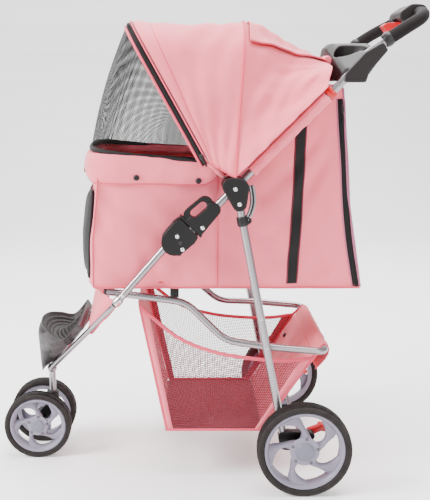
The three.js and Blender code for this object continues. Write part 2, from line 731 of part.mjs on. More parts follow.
function cabinSide() {
  const front = FRONT_EDGE.map(([y, z]) => [y + WALL_GAP, z]);
  const rear = REAR_EDGE.map(([y, z]) => [y - WALL_GAP, z]).reverse();
  const top = [[-205, LIP_Z], [-150, 596], [30, 765]];
  return plate([...front, ...top, ...rear], CABIN_HALF - CLOTH, CABIN_HALF);
}
addPair("cabin_side", cabinSide(), PINK);

const inCabin = V(0, -150, 500);
function cabinEnd(edge, crown) {
  const [low, high] = [edge[0][1], edge.at(-1)[1]];
  const rows = [0, 0.25, 0.5, 0.75, 1].map((t) => {
    const z = low + (high - low) * t;
    return Array.from({ length: 9 }, (_, j) => {
      const s = j / 4 - 1;
      return V(s * (CABIN_HALF - 0.5), sideValue(edge, z) + crown * (1 - s * s), z);
    });
  });
  return panel(rows, CLOTH, inCabin);
}
add("cabin_front", cabinEnd(FRONT_EDGE, -20), PINK);
add("cabin_rear", cabinEnd(REAR_EDGE, 6), PINK);
add(
  "cabin_floor",
  box(
    V(-CABIN_HALF + CLOTH + 1, FRONT_EDGE[0][0] + 8, CABIN_FLOOR_Z - FLOOR_THICK),
    V(CABIN_HALF - CLOTH - 1, REAR_EDGE[0][0] - 8, CABIN_FLOOR_Z),
  ),
  PIPING,
);

// ---- hood: two panels over two hoops that fan out from one pin ----------------------------------
// each section runs from the hem to the crown as [half width, share of the way up]
const SECTION = [[19, 0], [7, 0.3], [0, 0.6], [-18, 0.84], [-66, 0.965], [-110, 1], [-HOOD_HALF, 1]];
const section = ({ hem, crown }, flare, inset = 0) => {
  const height = Math.hypot(crown[0] - hem[0], crown[1] - hem[1]);
  return SECTION.map(([wide, share], k) => {
    const x = Math.max(0, HOOD_HALF + wide + (k === 0 ? flare : 0) - inset);
    return V(x, ...hem).lerp(V(x, ...crown), share * (1 - inset / height));
  });
};
const BOW = { hem: [-181, 629], crown: [-326, 886] };
const RIB = { hem: [-134, 604], crown: [-113, 884] };
const BACK = { hem: [30, 765], crown: [46, 808] };
const HOOD_SPAN = 12;
const arch = (hoopPlane, flare) => mirrored(smooth(section(hoopPlane, flare), HOOD_SPAN));
const between = (a, b, shares) => shares.map((t) => a.map((p, i) => p.clone().lerp(b[i], t)));
const inHood = V(0, -130, 640);

const bowArch = arch(BOW, 0);
const ribArch = arch(RIB, 20);
const backArch = arch(BACK, 4);
add("hood_front", panel(between(bowArch, ribArch, [0, 0.33, 0.66, 0.985]), THIN_CLOTH, inHood), PINK);
add("hood_rear", panel(between(ribArch, backArch, [0.015, 0.33, 0.66, 0.97]), THIN_CLOTH, inHood), PINK);

function hoop(plane, pinX) {
  const half = section(plane, 0, HOOP_R + THIN_CLOTH + 2).slice(1);
  const leg = half[0].clone().setX(pinX);
  const path = [V(pinX, ...RIB_PIN), V(pinX, ...plane.hem), leg, ...half.slice(1)];
  const curve = new THREE.CatmullRomCurve3(mirrored(path), false, "centripetal");
  const wire = sweep(curve, HOOP_R, { steps: 30, half: 3 });
  const eyes = SIDES.map(([, s]) => crossBar(RIB_PIN, s * (pinX - HOOP_R), s * (pinX + HOOP_R), 6));
  const holes = SIDES.map(([, s]) => crossBar(RIB_PIN, s * (pinX - 9), s * (pinX + 9), PIN_R + RUN));
  return cut(join(wire, ...eyes), ...holes);
}
const HOOP_PITCH = 2 * HOOP_R + 1;
const RIB_X = BRACKET_IN - GAP - HOOP_R - 0.3;
add("hood_rib", hoop(RIB, RIB_X), STEEL);
add("hood_bow", hoop(BOW, RIB_X - HOOP_PITCH), STEEL);

// The mesh front closes the gap between the bow and the cabin's front edge.
const SILL = [V(146, -196, 626), V(141, -300, 632), V(138, -362, 638), V(112, -398, 642), V(56, -408, 644), V(0, -411, 644)];
function frontWindow() {
  const sill = mirrored(smooth(SILL, HOOD_SPAN));
  const top = bowArch.map((p) => p.clone().add(V(0, -4.5, -2.5)));
  const rows = between(sill, top, [0, 0.3, 0.6, 0.85, 1]);
  rows.forEach((row, i) => row.forEach((p) => p.add(V(0, [0, -6, -9, -6, 0][i], 0))));
  return panel(rows, THIN_CLOTH, V(0, -150, 660));
}
add("front_window", frontWindow(), MESH_CLOTH);

// ---- apron: the cloth that runs from the cabin's front down to the V tubes -----------------------
function apron() {
  const rows = [
    [V(128, -384, 372), V(64, -402, 368), V(0, -408, 366)],
    [V(112, -396, 338), V(60, -414, 326), V(0, -420, 322)],
    [V(82, -404, 304), V(44, -420, 280), V(0, -426, 268)],
  ];
  return panel(rows.map(mirrored), THIN_CLOTH, V(0, -300, 330));
}
add("apron", apron(), PINK);

// ---- centre the whole stroller over its own footprint --------------------------------------------
const bounds = new THREE.Box3().setFromObject(stroller);
const centre = bounds.getCenter(V(0, 0, 0));
stroller.position.set(-centre.x, -centre.y, -bounds.min.z);

export default stroller;
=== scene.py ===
"""Looks of a folding pet stroller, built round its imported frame.

Lengths are in millimetres, in a working frame with Y = 0 at the rear axle. P() turns them into
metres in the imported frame."""

import bisect
import math

import bmesh
import bpy
from mathutils import Matrix, Vector, noise


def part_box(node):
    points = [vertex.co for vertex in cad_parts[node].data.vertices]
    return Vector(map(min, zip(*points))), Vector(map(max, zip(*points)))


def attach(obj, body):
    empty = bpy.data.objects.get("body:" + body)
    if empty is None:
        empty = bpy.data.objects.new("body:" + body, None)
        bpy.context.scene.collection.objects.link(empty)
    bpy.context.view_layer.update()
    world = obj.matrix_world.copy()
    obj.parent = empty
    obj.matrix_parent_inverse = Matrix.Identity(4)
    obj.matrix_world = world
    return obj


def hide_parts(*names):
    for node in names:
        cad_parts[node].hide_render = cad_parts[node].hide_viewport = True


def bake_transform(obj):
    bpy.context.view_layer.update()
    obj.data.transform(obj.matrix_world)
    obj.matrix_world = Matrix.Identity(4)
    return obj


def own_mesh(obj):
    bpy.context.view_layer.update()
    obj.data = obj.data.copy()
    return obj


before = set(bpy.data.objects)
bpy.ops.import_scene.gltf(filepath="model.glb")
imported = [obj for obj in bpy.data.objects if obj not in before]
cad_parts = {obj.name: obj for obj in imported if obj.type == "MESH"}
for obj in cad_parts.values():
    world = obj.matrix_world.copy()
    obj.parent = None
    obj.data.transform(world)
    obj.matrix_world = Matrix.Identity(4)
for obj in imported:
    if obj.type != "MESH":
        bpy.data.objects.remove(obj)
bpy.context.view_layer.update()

MM = 0.001
_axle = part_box("rear_axle")
AXLE_Y = (_axle[0].y + _axle[1].y) / 2
SIDES = (("left", 1), ("right", -1))
collection = bpy.context.scene.collection


def P(x, y, z):
    return Vector((x * MM, AXLE_Y + y * MM, z * MM))


def mirrored(half):
    """A line from one side to the middle, carried on to the other side."""
    return half + [Vector((-p.x, p.y, p.z)) for p in reversed(half[:-1])]


def picked(line, count):
    """count + 1 points of a line, at even steps of its index."""
    return [line[round(k * (len(line) - 1) / count)] for k in range(count + 1)]


def heading(line, i):
    """The direction of a line at point i."""
    return (line[min(i + 1, len(line) - 1)] - line[max(i - 1, 0)]).normalized()


def quads(count, wide, round_rows, round_across):
    """Faces of a grid of count rows of wide points, closed either way or open."""
    faces = []
    for i in range(count if round_rows else count - 1):
        for j in range(wide if round_across else wide - 1):
            k, n = (j + 1) % wide, (i + 1) % count
            faces.append((i * wide + j, i * wide + k, n * wide + k, n * wide + j))
    return faces


# ---- colours (scene linear) ---------------------------------------------------------------------
def srgb(r, g, b):
    def lin(c):
        c /= 255
        return c / 12.92 if c <= 0.04045 else ((c + 0.055) / 1.055) ** 2.4

    return (lin(r), lin(g), lin(b), 1.0)


PINK = srgb(240, 112, 128)
PINK_DEEP = srgb(218, 74, 98)
LINING = srgb(208, 30, 46)
MAUVE = srgb(168, 96, 122)
STEEL = srgb(150, 144, 148)
BLACK = srgb(9, 7, 7)
BROWN_GREY = srgb(20, 13, 14)
FOAM = srgb(16, 10, 11)
RED = srgb(188, 0, 16)
RIM = srgb(122, 116, 132)
RIM_CAP = srgb(108, 107, 122)
TYRE = srgb(12, 7, 7)
NET = srgb(12, 8, 8)
BASKET_NET = srgb(120, 52, 62)


# ---- shader node groups -------------------------------------------------------------------------
class Board:
    """A node tree with short calls for adding nodes and links."""

    def __init__(self, tree):
        self.tree = tree

    def node(self, kind, **values):
        made = self.tree.nodes.new(kind)
        for name, value in values.items():
            if hasattr(made, name):
                setattr(made, name, value)
        return made

    def link(self, a, b):
        self.tree.links.new(a, b)

    def math(self, operation, a, b=None, c=None):
        made = self.node("ShaderNodeMath", operation=operation)
        for socket, value in zip(made.inputs, (a, b, c)):
            if value is None:
                continue
            if isinstance(value, (int, float)):
                socket.default_value = value
            else:
                self.link(value, socket)
        return made.outputs[0]


def group(name, inputs, outputs):
    tree = bpy.data.node_groups.new(name, "ShaderNodeTree")
    for label, kind, default in inputs:
        socket = tree.interface.new_socket(label, in_out="INPUT", socket_type=kind)
        if default is not None:
            socket.default_value = default
    for label, kind in outputs:
        tree.interface.new_socket(label, in_out="OUTPUT", socket_type=kind)
    board = Board(tree)
    return board, board.node("NodeGroupInput").outputs, board.node("NodeGroupOutput").inputs


FLOAT, VECTOR = "NodeSocketFloat", "NodeSocketVector"


def weave_group():
    """Over-and-under threads: a height, and a faint painted shade that is darker in the dips and
    lighter on the crowns.
    """
    board, given, out = group(
        "Woven threads",
        [("Place", VECTOR, None), ("Threads per metre", FLOAT, 900.0)],
        [("Height", FLOAT), ("Shade", FLOAT)],
    )
    split = board.node("ShaderNodeSeparateXYZ")
    board.link(given["Place"], split.inputs[0])
    waves = []
    for axis in "XY":
        turn = board.math("MULTIPLY", split.outputs[axis], given["Threads per metre"])
        waves.append(board.math("SINE", board.math("MULTIPLY", turn, math.pi)))
    height = board.math("MULTIPLY", waves[0], waves[1])
    board.link(height, out["Height"])
    # painted shade: the colour follows the height, darker in the dips between threads
    board.link(board.math("MULTIPLY_ADD", height, 0.5, 0.5), out["Shade"])
    return board.tree


def net_group():
    """A square net: 1 on a thread, 0 in a hole."""
    board, given, out = group(
        "Open net",
        [("Place", VECTOR, None), ("Holes per metre", FLOAT, 450.0), ("Thread share", FLOAT, 0.35)],
        [("Thread", FLOAT)],
    )
    split = board.node("ShaderNodeSeparateXYZ")
    board.link(given["Place"], split.inputs[0])
    masks = []
    for axis in "XY":
        across = board.math("MULTIPLY", split.outputs[axis], given["Holes per metre"])
        cell = board.math("FRACT", across)
        masks.append(board.math("LESS_THAN", cell, given["Thread share"]))
    board.link(board.math("MAXIMUM", masks[0], masks[1]), out["Thread"])
    return board.tree


def grain_group():
    """Fine moulded or sprayed grain, with a slow variation over the surface."""
    board, given, out = group(
        "Surface grain",
        [("Place", VECTOR, None), ("Fine", FLOAT, 900.0), ("Slow", FLOAT, 14.0)],
        [("Height", FLOAT), ("Cloud", FLOAT)],
    )
    for label, scale, detail in (("Height", "Fine", 2.0), ("Cloud", "Slow", 3.0)):
        made = board.node("ShaderNodeTexNoise")
        made.inputs["Detail"].default_value = detail
        board.link(given["Place"], made.inputs["Vector"])
        board.link(given[scale], made.inputs["Scale"])
        board.link(made.outputs[0], out[label])
    return board.tree


def scuff_group():
    """Handling marks: a mask that is strongest on raised edges and in broken patches."""
    board, given, out = group(
        "Edge scuffs",
        [("Place", VECTOR, None), ("Amount", FLOAT, 0.5)],
        [("Mask", FLOAT)],
    )
    edge = board.node("ShaderNodeNewGeometry").outputs["Pointiness"]
    raised = board.node("ShaderNodeMapRange")
    raised.inputs["From Min"].default_value = 0.51
    raised.inputs["From Max"].default_value = 0.58
    board.link(edge, raised.inputs["Value"])
    patches = board.node("ShaderNodeTexNoise")
    patches.inputs["Scale"].default_value = 60.0
    board.link(given["Place"], patches.inputs["Vector"])
    both = board.math("MULTIPLY", raised.outputs[0], patches.outputs[0])
    board.link(board.math("MULTIPLY", both, given["Amount"]), out["Mask"])
    return board.tree


WEAVE, OPEN_NET, GRAIN, SCUFF = weave_group(), net_group(), grain_group(), scuff_group()


# ---- materials ----------------------------------------------------------------------------------
def blank(name):
    material = bpy.data.materials.new(name)
    material.use_nodes = True
    board = Board(material.node_tree)
    shader = material.node_tree.nodes["Principled BSDF"]
    coords = board.node("ShaderNodeTexCoord")
    return material, board, shader, coords


def use(board, tree, place, **values):
    made = board.node("ShaderNodeGroup")
    made.node_tree = tree
    board.link(place, made.inputs["Place"])
    for label, value in values.items():
        made.inputs[label.replace("_", " ")].default_value = value
    return made.outputs


def tinted(board, factor, low, high):
    """A colour between two, of which low may be a socket."""
    mix = board.node("ShaderNodeMix", data_type="RGBA")
    colours = [s for s in mix.inputs if s.type == "RGBA"]
    if isinstance(low, tuple):
        colours[0].default_value = low
    else:
        board.link(low, colours[0])
    colours[1].default_value = high
    board.link(factor, mix.inputs[0])
    return next(s for s in mix.outputs if s.type == "RGBA")


def scaled(colour, share):
    return (*(min(1.0, c * share) for c in colour[:3]), 1.0)


def bump(board, shader, height, strength, distance):
    made = board.node("ShaderNodeBump")
    made.inputs["Strength"].default_value = strength
    made.inputs["Distance"].default_value = distance
    board.link(height, made.inputs["Height"])
    board.link(made.outputs[0], shader.inputs["Normal"])


def cloth_material(name, colour, sheen=0.35, threads=1100.0, roughness=0.8, soft=0.10):
    """Woven polyester: threads on the piece's own UV map, with painted shade in the dips between
    them and slow colour variation.
    """
    material, board, shader, coords = blank(name)
    threads_out = use(board, WEAVE, coords.outputs["UV"], Threads_per_metre=threads)
    grain = use(board, GRAIN, coords.outputs["Object"], Fine=1400.0, Slow=9.0)
    cloud = board.math("MULTIPLY", grain["Cloud"], 0.65)
    # the weave's painted shade, mixed with a slow random tone
    shade = board.math("MULTIPLY_ADD", threads_out["Shade"], 0.35, cloud)
    base = tinted(board, shade, scaled(colour, 1 - soft), scaled(colour, 1 + soft))
    board.link(base, shader.inputs["Base Color"])
    rough = board.math("MULTIPLY_ADD", grain["Cloud"], 0.12, roughness - 0.06)
    board.link(rough, shader.inputs["Roughness"])
    shader.inputs["Sheen Weight"].default_value = sheen
    shader.inputs["Sheen Roughness"].default_value = 0.4
    shader.inputs["Specular IOR Level"].default_value = 0.3
    height = board.math("MULTIPLY_ADD", grain["Height"], 0.4, threads_out["Height"])
    bump(board, shader, height, 0.35, 0.0003)
    return material


def net_material(name, colour, holes, share):
    """An open net whose holes are clear."""
    material, board, shader, coords = blank(name)
    thread = use(board, OPEN_NET, coords.outputs["UV"], Holes_per_metre=holes, Thread_share=share)
    grain = use(board, GRAIN, coords.outputs["Object"], Fine=900.0, Slow=12.0)
    base = tinted(board, grain["Cloud"], scaled(colour, 0.8), scaled(colour, 1.2))
    board.link(base, shader.inputs["Base Color"])
    board.link(thread["Thread"], shader.inputs["Alpha"])
    shader.inputs["Roughness"].default_value = 0.9
    shader.inputs["Specular IOR Level"].default_value = 0.1
    return material


def hard_material(name, colour, roughness, metallic=0.0, fine=1500.0, depth=0.00006,
                  strength=0.3, scuffs=0.0, scuff_colour=(0.4, 0.4, 0.4, 1), coat=0.0):
    """Moulded plastic, rubber or painted metal."""
    material, board, shader, coords = blank(name)
    grain = use(board, GRAIN, coords.outputs["Object"], Fine=fine, Slow=11.0)
    base = tinted(board, grain["Cloud"], scaled(colour, 0.88), scaled(colour, 1.12))
    if scuffs:
        mask = use(board, SCUFF, coords.outputs["Object"], Amount=scuffs)["Mask"]
        base = tinted(board, mask, base, scuff_colour)
    board.link(base, shader.inputs["Base Color"])
    rough = board.math("MULTIPLY_ADD", grain["Cloud"], 0.14, roughness - 0.07)
    board.link(rough, shader.inputs["Roughness"])
    shader.inputs["Metallic"].default_value = metallic
    shader.inputs["Specular IOR Level"].default_value = 0.28
    shader.inputs["Coat Weight"].default_value = coat
    bump(board, shader, grain["Height"], strength, depth)
    return material


M = {
    "pink": cloth_material("Pink polyester", PINK),
    "pink_hem": cloth_material("Pink binding", PINK_DEEP, soft=0.06),
    "mauve": cloth_material("Mauve piping", MAUVE, soft=0.05),
    "lining": cloth_material("Cabin lining", LINING, soft=0.08),
    "basket_base": cloth_material("Basket base", srgb(138, 30, 46), soft=0.12),
    "tape": cloth_material("Black tape", BLACK, sheen=0.1, threads=700.0, roughness=0.7),
    "net": net_material("Window net", NET, 330.0, 0.24),
    "basket_net": net_material("Basket net", BASKET_NET, 260.0, 0.2),
    "steel": hard_material("Silver-grey tube", STEEL, 0.28, metallic=0.9, fine=700.0,
                           depth=0.00003, coat=0.15),
    "bright": hard_material("Bright rivet", srgb(205, 205, 208), 0.22, metallic=0.95,
                            depth=0.00002),
    "black": hard_material("Black moulding", BLACK, 0.42, scuffs=0.35,
                           scuff_colour=srgb(90, 88, 90)),
    "brown": hard_material("Warm grey moulding", BROWN_GREY, 0.5, scuffs=0.3,
                           scuff_colour=srgb(140, 132, 134)),
    "foam": hard_material("Foam sleeve", FOAM, 0.85, fine=1100.0, depth=0.0004, strength=0.5),
    "red": hard_material("Red moulding", RED, 0.3, coat=0.3, scuffs=0.15,
                         scuff_colour=srgb(230, 110, 110)),
    "rim": hard_material("Rim moulding", RIM, 0.4, scuffs=0.2,
                         scuff_colour=srgb(200, 198, 208)),
    "cap": hard_material("Hub cap", RIM_CAP, 0.35),
    "tyre": hard_material("Tyre", TYRE, 0.75, fine=900.0, depth=0.0002, scuffs=0.4,
                          scuff_colour=srgb(96, 86, 84)),
    "dark": hard_material("Dark recess", srgb(22, 19, 20), 0.6),
}


# ---- mesh helpers -------------------------------------------------------------------------------
LATHE_ANGLE = 35  # degrees: sharper edges of a turned body stay sharp


def put(name, mesh, material):
    made = bpy.data.objects.new(name, mesh)
    collection.objects.link(made)
    mesh.materials.clear()
    mesh.materials.append(M[material])
    return made


def smooth(mesh, angle=40):
    for face in mesh.polygons:
        face.use_smooth = True
    mesh.set_sharp_from_angle(angle=math.radians(angle))


def baked(piece):
    """The piece with its modifiers turned into plain mesh."""
    evaluated = piece.evaluated_get(bpy.context.evaluated_depsgraph_get())
    mesh = bpy.data.meshes.new_from_object(evaluated)
    piece.modifiers.clear()
    old, piece.data = piece.data, mesh
    bpy.data.meshes.remove(old)
    return piece


def outward(mesh):
    work = bmesh.new()
    work.from_mesh(mesh)
    bmesh.ops.remove_doubles(work, verts=work.verts, dist=1e-6)
    bmesh.ops.recalc_face_normals(work, faces=work.faces)
    work.to_mesh(mesh)
    work.free()


def grid(name, rows, material, closed=False):
    """A surface through rows of points, with a UV map in metres."""
    count, wide = len(rows), len(rows[0])
    mesh = bpy.data.meshes.new(name)
    mesh.from_pydata([p for row in rows for p in row], [], quads(count, wide, False, closed))
    middle = rows[count // 2]
    across = [0.0]
    for a, b in zip(middle, middle[1:] + middle[:1]):
        across.append(across[-1] + (b - a).length)
    down = [0.0]
    for a, b in zip(rows, rows[1:]):
        down.append(down[-1] + (b[wide // 2] - a[wide // 2]).length)
    layer = mesh.uv_layers.new(name="UVMap")
    for face in mesh.polygons:
        i, j = divmod(face.vertices[0], wide)
        corners = ((i, j), (i, j + 1), (i + 1, j + 1), (i + 1, j))
        for loop, (a, b) in zip(face.loop_indices, corners):
            layer.data[loop].uv = (across[b], down[a])
    return put(name, mesh, material)


def cloth(name, rows, material, thick, facing, levels=1, inner=None):
    """A cloth panel of real thickness through rows of points. facing is a point outside it."""
    piece = grid(name, rows, material)
    middle = piece.data.polygons[len(piece.data.polygons) // 2]
    if middle.normal.dot(facing - middle.center) < 0:
        piece.data.flip_normals()
    smooth(piece.data, 80)
    shell = piece.modifiers.new("Cloth", "SOLIDIFY")
    shell.thickness = thick * MM
    shell.offset = -1
    if inner:
        piece.data.materials.append(M[inner])
        shell.material_offset = 1
    if levels:
        fine = piece.modifiers.new("Fine", "SUBSURF")
        fine.levels = fine.render_levels = levels
        fine.boundary_smooth = "PRESERVE_CORNERS"
    baked(piece)
    return piece


def curve_points(points, spacing=8.0):
    """A smooth open line (Catmull-Rom) through points, about evenly spaced."""
    pts = [points[0] * 2 - points[1], *points, points[-1] * 2 - points[-2]]
    line = []
    for a, b, c, d in zip(pts, pts[1:], pts[2:], pts[3:]):
        steps = max(1, round((c - b).length / (spacing * MM)))
        for k in range(steps):
            t = k / steps
            line.append(
                0.5 * ((2 * b) + (c - a) * t + (2 * a - 5 * b + 4 * c - d) * t * t
                       + (3 * b - a - 3 * c + d) * t * t * t)
            )
    line.append(points[-1].copy())
    return line


def rounded_route(corners, bend, steps=6):
    """Straight runs joined by round bends."""
    line = [corners[0]]
    for before, corner, after in zip(corners, corners[1:], corners[2:]):
        a = corner + (before - corner).normalized() * bend * MM
        b = corner + (after - corner).normalized() * bend * MM
        for k in range(steps + 1):
            t = k / steps
            line.append(a * (1 - t) ** 2 + corner * 2 * t * (1 - t) + b * t * t)
    return line + [corners[-1]]


def rings_along(line, radius, sides=20, squash_to=1.0, up=None):
    """Rings of points round a line, turned as little as possible from one to the next."""
    rings, side = [], None
    for i, point in enumerate(line):
        ahead = heading(line, i)
        if side is None:
            guide = up or (Vector((0, 0, 1)) if abs(ahead.z) < 0.9 else Vector((0, 1, 0)))
            side = ahead.cross(guide).normalized()
        side = (side - ahead * side.dot(ahead)).normalized()
        other = ahead.cross(side)
        r = (radius(i / (len(line) - 1)) if callable(radius) else radius) * MM
        rings.append(
            [point + side * math.cos(a) * r + other * math.sin(a) * r * squash_to
             for a in (2 * math.pi * k / sides for k in range(sides))]
        )
    return rings


def capped(name, rings, material, angle=40):
    """A closed body through rings."""
    piece = grid(name, rings, material, closed=True)
    wide, last = len(rings[0]), len(rings) - 1
    work = bmesh.new()
    work.from_mesh(piece.data)
    work.verts.ensure_lookup_table()
    for base in (0, last * wide):
        work.faces.new([work.verts[base + k] for k in range(wide)])
    bmesh.ops.recalc_face_normals(work, faces=work.faces)
    work.to_mesh(piece.data)
    work.free()
    smooth(piece.data, angle)
    return piece


def pipe(name, line, radius, material, sides=20, **options):
    return capped(name, rings_along(line, radius, sides, **options), material)


def turned(name, rings, material, closed, angle):
    """A body through rings that close on themselves."""
    mesh = bpy.data.meshes.new(name)
    faces = quads(len(rings), len(rings[0]), True, closed)
    mesh.from_pydata([p for ring in rings for p in ring], [], faces)
    outward(mesh)
    smooth(mesh, angle)
    return put(name, mesh, material)


def lathe(name, profile, centre, material, axis="X", segments=64, closed=True):
    """A body turned round an axis through centre. profile holds (along, radius) in millimetres."""
    rings = []
    for k in range(segments):
        a = 2 * math.pi * k / segments
        c, s = math.cos(a), math.sin(a)
        ring = []
        for along, r in profile:
            place = (along, r * c, r * s) if axis == "X" else (r * c, r * s, along)
            ring.append(centre + Vector(place) * MM)
        rings.append(ring)
    return turned(name, rings, material, closed, LATHE_ANGLE)


def joined(name, parts):
    """Several objects as one piece that keeps each one's material."""
    work = bmesh.new()
    mesh = bpy.data.meshes.new(name)
    slots = []
    for part in parts:
        start = len(work.faces)
        work.from_mesh(part.data)
        work.faces.ensure_lookup_table()
        own = part.data.materials[0]
        if own not in slots:
            slots.append(own)
        for face in work.faces[start:]:
            face.material_index = slots.index(own)
    work.to_mesh(mesh)
    work.free()
    made = bpy.data.objects.new(name, mesh)
    collection.objects.link(made)
    for own in slots:
        mesh.materials.append(own)
    for part in parts:
        old = part.data
        bpy.data.objects.remove(part)
        bpy.data.meshes.remove(old)
    return made


def moulded(name, node, material, voxel, rounds):
    """A CAD solid with its sharp edges melted like a real moulding's."""
    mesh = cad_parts[node].data.copy()
    outward(mesh)
    made = put(name, mesh, material)
    cells = made.modifiers.new("Cells", "REMESH")
    cells.mode = "VOXEL"
    cells.voxel_size = voxel * MM
    melt = made.modifiers.new("Melt", "SMOOTH")
    melt.factor = 0.5
    melt.iterations = rounds
    baked(made)
    for face in made.data.polygons:
        face.use_smooth = True
    return made


def settle(piece, body, slot, *nodes):
    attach(piece, body)
    if nodes:
        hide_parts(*nodes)
    return piece


# ---- repeated small parts (geometry nodes) ------------------------------------------------------
def repeat_tree(along_a_line):
    """Sets a small shape on points, or along a line at a pitch, with its Z axis on each facing."""
    label = "Set along" if along_a_line else "Set on points"
    tree = bpy.data.node_groups.new(label, "GeometryNodeTree")
    for socket, kind in (("Geometry", "Geometry"), ("Shape", "Object"), ("Pitch", "Float"),
                         ("Finish", "Material")):
        tree.interface.new_socket(socket, in_out="INPUT", socket_type=f"NodeSocket{kind}")
    tree.interface.new_socket("Geometry", in_out="OUTPUT", socket_type="NodeSocketGeometry")
    board = Board(tree)
    given = board.node("NodeGroupInput").outputs
    out = board.node("NodeGroupOutput").inputs
    ways = []
    for label in ("facing", "heading"):
        way = board.node("GeometryNodeInputNamedAttribute", data_type="FLOAT_VECTOR")
        way.inputs["Name"].default_value = label
        ways.append(way.outputs[0])
    points = given["Geometry"]
    if along_a_line:
        to_curve = board.node("GeometryNodeMeshToCurve")
        board.link(points, to_curve.inputs[0])
        spaced = board.node("GeometryNodeResampleCurve")
        spaced.mode = "LENGTH"
        board.link(to_curve.outputs[0], spaced.inputs["Curve"])
        board.link(given["Pitch"], spaced.inputs["Length"])
        points = spaced.outputs[0]
    turn = board.node("FunctionNodeAxesToRotation")
    turn.primary_axis, turn.secondary_axis = "Z", "X"
    for way, socket in zip(ways, turn.inputs):
        board.link(way, socket)
    shape = board.node("GeometryNodeObjectInfo")
    board.link(given["Shape"], shape.inputs["Object"])
    copies = board.node("GeometryNodeInstanceOnPoints")
    board.link(points, copies.inputs["Points"])
    board.link(shape.outputs["Geometry"], copies.inputs["Instance"])
    board.link(turn.outputs[0], copies.inputs["Rotation"])
    real = board.node("GeometryNodeRealizeInstances")
    board.link(copies.outputs[0], real.inputs[0])
    finish = board.node("GeometryNodeSetMaterial")
    board.link(real.outputs[0], finish.inputs["Geometry"])
    board.link(given["Finish"], finish.inputs["Material"])
    board.link(finish.outputs[0], out["Geometry"])
    return tree


ALONG, ON_POINTS = repeat_tree(True), repeat_tree(False)


def repeated(name, tree, lines, shape, material, pitch=4.0):
    """A small shape set along or on lines of (point, facing, heading)."""
    shape = SHAPES[shape]
    mesh = bpy.data.meshes.new(name)
    spots, edges, facings, headings = [], [], [], []
    for line in lines:
        start = len(spots)
        for point, facing, ahead in line:
            spots.append(point)
            facings.extend(facing)
            headings.extend(ahead)
        if tree is ALONG:
            edges.extend((start + k, start + k + 1) for k in range(len(line) - 1))
    mesh.from_pydata(spots, edges, [])
    for label, values in (("facing", facings), ("heading", headings)):
        mesh.attributes.new(label, "FLOAT_VECTOR", "POINT").data.foreach_set("vector", values)
    made = put(name, mesh, material)
    modifier = made.modifiers.new("Repeat", "NODES")
    modifier.node_group = tree
    ids = {s.name: s.identifier for s in tree.interface.items_tree if s.in_out == "INPUT"}
    modifier[ids["Shape"]] = shape
    modifier[ids["Pitch"]] = pitch * MM
    modifier[ids["Finish"]] = M[material]
    made.update_tag()
    bpy.context.view_layer.update()
    baked(made)
    smooth(made.data, 50)
    return made


def small_shape(name, rings):
    piece = capped(f"shape_{name}", rings, "bright")
    piece.hide_render = True
    return piece


def disc_rings(profile, sides):
    """Rings for a small turned shape standing on its base: (height, radius) in millimetres."""
    angles = [2 * math.pi * k / sides for k in range(sides)]
    return [[Vector((r * math.cos(a), r * math.sin(a), h)) * MM for a in angles] for h, r in profile]


def bean(length, width, height):
    """Rings for a small rounded bar that lies on its side."""
    rings = []
    for t in (-1.0, -0.8, -0.4, 0.0, 0.4, 0.8, 1.0):
        r = max(0.12, math.sqrt(max(0.0, 1 - t * t)))
        ring = []
        for k in range(6):
            a = 2 * math.pi * k / 6
            up = r * height / 2 * math.sin(a) + height * 0.2
            ring.append(Vector((t * length / 2, r * width / 2 * math.cos(a), up)) * MM)
        rings.append(ring)
    return rings


RIVET = [(-1.0, 4.2), (0.6, 4.2), (1.7, 3.4), (2.1, 2.2), (1.3, 1.7), (1.0, 0.5)]
SNAP = [(-1.5, 5.6), (0.8, 5.6), (2.6, 4.6), (3.3, 2.8), (3.0, 1.2)]
SCREW = [(-1.0, 2.8), (0.4, 2.8), (0.7, 2.0), (-0.2, 1.5), (-0.3, 0.4)]
SHAPES = {
    name: small_shape(name, rings)
    for name, rings in (
        ("rivet", disc_rings(RIVET, 18)), ("snap", disc_rings(SNAP, 20)),
        ("screw", disc_rings(SCREW, 10)), ("stitch", bean(2.6, 0.7, 0.5)),
        ("tooth", bean(1.5, 4.6, 1.2)),
    )
}


def along_surface(line, facing):
    """(point, facing, heading) along a line that lies on a surface with one facing."""
    return [(point, facing, heading(line, i)) for i, point in enumerate(line)]


# ---- the frame's tubes --------------------------------------------------------------------------
HINGE, LEG_PIN, SEAT_PIN = (-234, 480.4), (-126.5, 555.7), (-343.7, 373.3)
FRONT_RIVET = (-239.5, 493)
FRONT_AXLE_Y = -532
HANDLE_TILT, FRONT_TILT, LEG_LEAN = 45.1, 49.0, 11.25
FRONT_R, HANDLE_R = 7, 7.5
HANDLE_X, FRONT_X, LEG_X, SEAT_X = 170, 151, 193, 133


def along(origin, degrees, distance, offset=0.0):
    a = math.radians(degrees)
    return (
        origin[0] + distance * math.cos(a) - offset * math.sin(a),
        origin[1] + distance * math.sin(a) + offset * math.cos(a),
    )


def handle_point(s, side=1, x=HANDLE_X, off=0.0):
    return P(side * x, *along(HINGE, HANDLE_TILT, s, off))


def leg_point(s, side=1, x=LEG_X, off=0.0):
    return P(side * x, *along(LEG_PIN, 90 + LEG_LEAN, -s, off))


def crimped(radius, length, end=4.0):
    """A tube whose last few millimetres are rounded over."""
    def value(t):
        edge = min(t, 1 - t) * length
        return radius * (1 - 0.12 * max(0.0, 1 - edge / end) ** 2)
    return value


def barrel(middle, less, power):
    """A radius that is fullest halfway along."""
    return lambda t: middle - less * abs(2 * t - 1) ** power


def straight(a, b, count=40):
    return [a.lerp(b, k / count) for k in range(count + 1)]


def finely(line, step):
    """The line with its long runs cut into steps of about the given length."""
    fine = []
    for a, b in zip(line, line[1:]):
        fine.extend(straight(a, b, max(1, round((b - a).length / (step * MM))))[:-1])
    return fine + [line[-1]]


